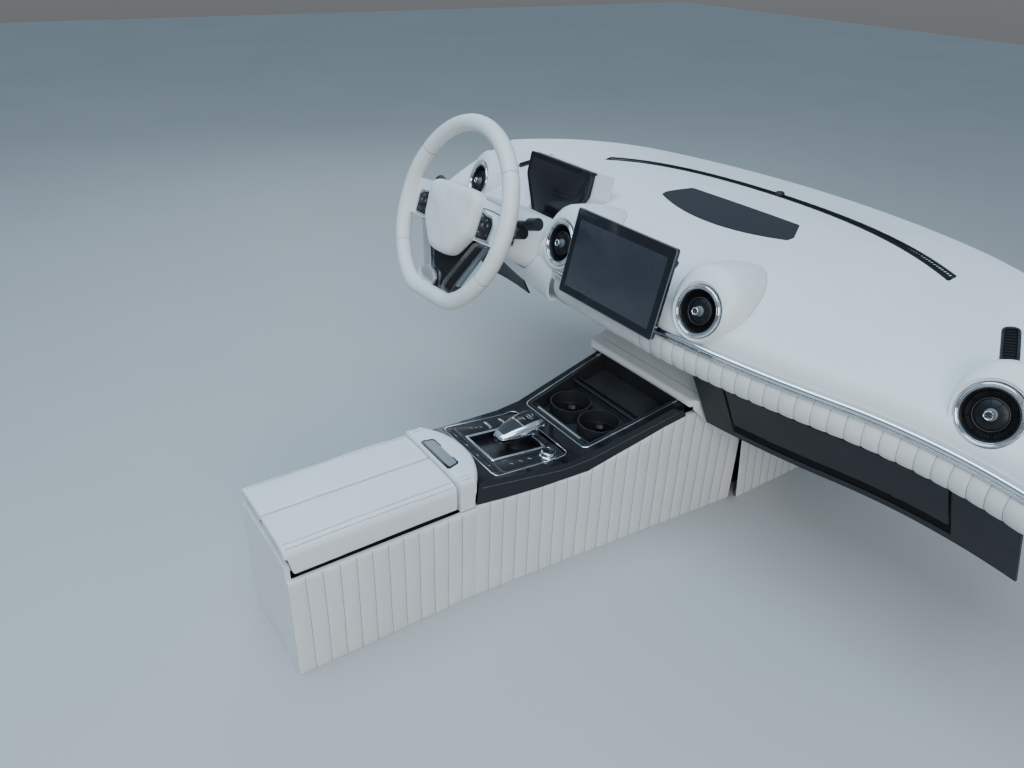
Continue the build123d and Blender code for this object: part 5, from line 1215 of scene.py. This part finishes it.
ahead = Vector((-0.70728, 0.50412, -0.49560)).normalized()
right = ahead.cross(Z).normalized()
up, roll = right.cross(ahead), radians(2.0)
across, over = right * cos(roll) + up * sin(roll), up * cos(roll) - right * sin(roll)
camera = bpy.data.objects.new("camera", bpy.data.cameras.new("camera"))
bpy.context.scene.collection.objects.link(camera)
camera.data.lens, camera.data.sensor_width = 28.54, 36.0
camera.matrix_world = Matrix((*zip(across, over, -ahead, (0.9799, -1.1693, 1.0242)), (0, 0, 0, 1)))
bpy.context.scene.camera = camera

for name, place, target, size, power, colour in (
        ("key", (2.5, -1.7, 1.7), (0.1, -0.3, 0.25), (1.6, 1.2), 44, (1.0, 0.985, 0.96)),
        ("sky", (0.1, -1.2, 2.9), (0, -0.6, 0.3), (2.6, 2.0), 80, (0.54, 0.78, 1.0)),
        ("side", (-2.4, 0.5, 1.8), (0, -0.2, 0.4), (1.6, 1.2), 12, (0.85, 0.93, 1.0))):
    data = bpy.data.lights.new(name, "AREA")
    data.shape, data.energy, data.color = "RECTANGLE", power, colour
    data.size, data.size_y = size
    lamp = bpy.data.objects.new(name, data)
    bpy.context.scene.collection.objects.link(lamp)
    lamp.location = place
    lamp.rotation_euler = (Vector(target) - Vector(place)).to_track_quat("-Z", "Y").to_euler()

world = bpy.data.worlds.new("studio")
bpy.context.scene.world = world
world.use_nodes = True
tree = world.node_tree
back = tree.nodes["Background"]
coords, split, height, shade = (tree.nodes.new("ShaderNode" + kind)
                                for kind in ("TexCoord", "SeparateXYZ", "MapRange", "Mix"))
height.inputs["From Min"].default_value, height.inputs["From Max"].default_value = -0.1, 0.7
shade.data_type = "RGBA"
shade.inputs[6].default_value, shade.inputs[7].default_value = (0.30, 0.31, 0.32, 1), (0.58, 0.80, 1.0, 1)
back.inputs["Strength"].default_value = 0.52
for out, into in ((coords.outputs["Generated"], split.inputs[0]), (split.outputs["Z"], height.inputs["Value"]),
                  (height.outputs["Result"], shade.inputs["Factor"]), (shade.outputs[2], back.inputs["Color"])):
    tree.links.new(out, into)

mesh = bpy.data.meshes.new("floor")
mesh.from_pydata([(-9, -9, 0), (9, -9, 0), (9, 9, 0), (-9, 9, 0)], [], [(0, 1, 2, 3)])
ground = bpy.data.objects.new("floor", mesh)
bpy.context.scene.collection.objects.link(ground)
ground.location.z = -0.0005
pale = Nodes("floor_pale")
pale.bump(pale.noise(220.0, 3.0), 0.15, 0.0004)
tone = pale.blend(pale.ramp(pale.noise(1.2, 3.0), 0.0, 1.0, 0.3, 0.7), (0.50, 0.495, 0.49), (0.47, 0.465, 0.46))
mesh.materials.append(pale.finish(Base_Color=tone, Roughness=pale.ramp(pale.noise(60.0, 2.0), 0.7, 0.85)))
ground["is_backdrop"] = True

low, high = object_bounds()
list(low)
list(high)
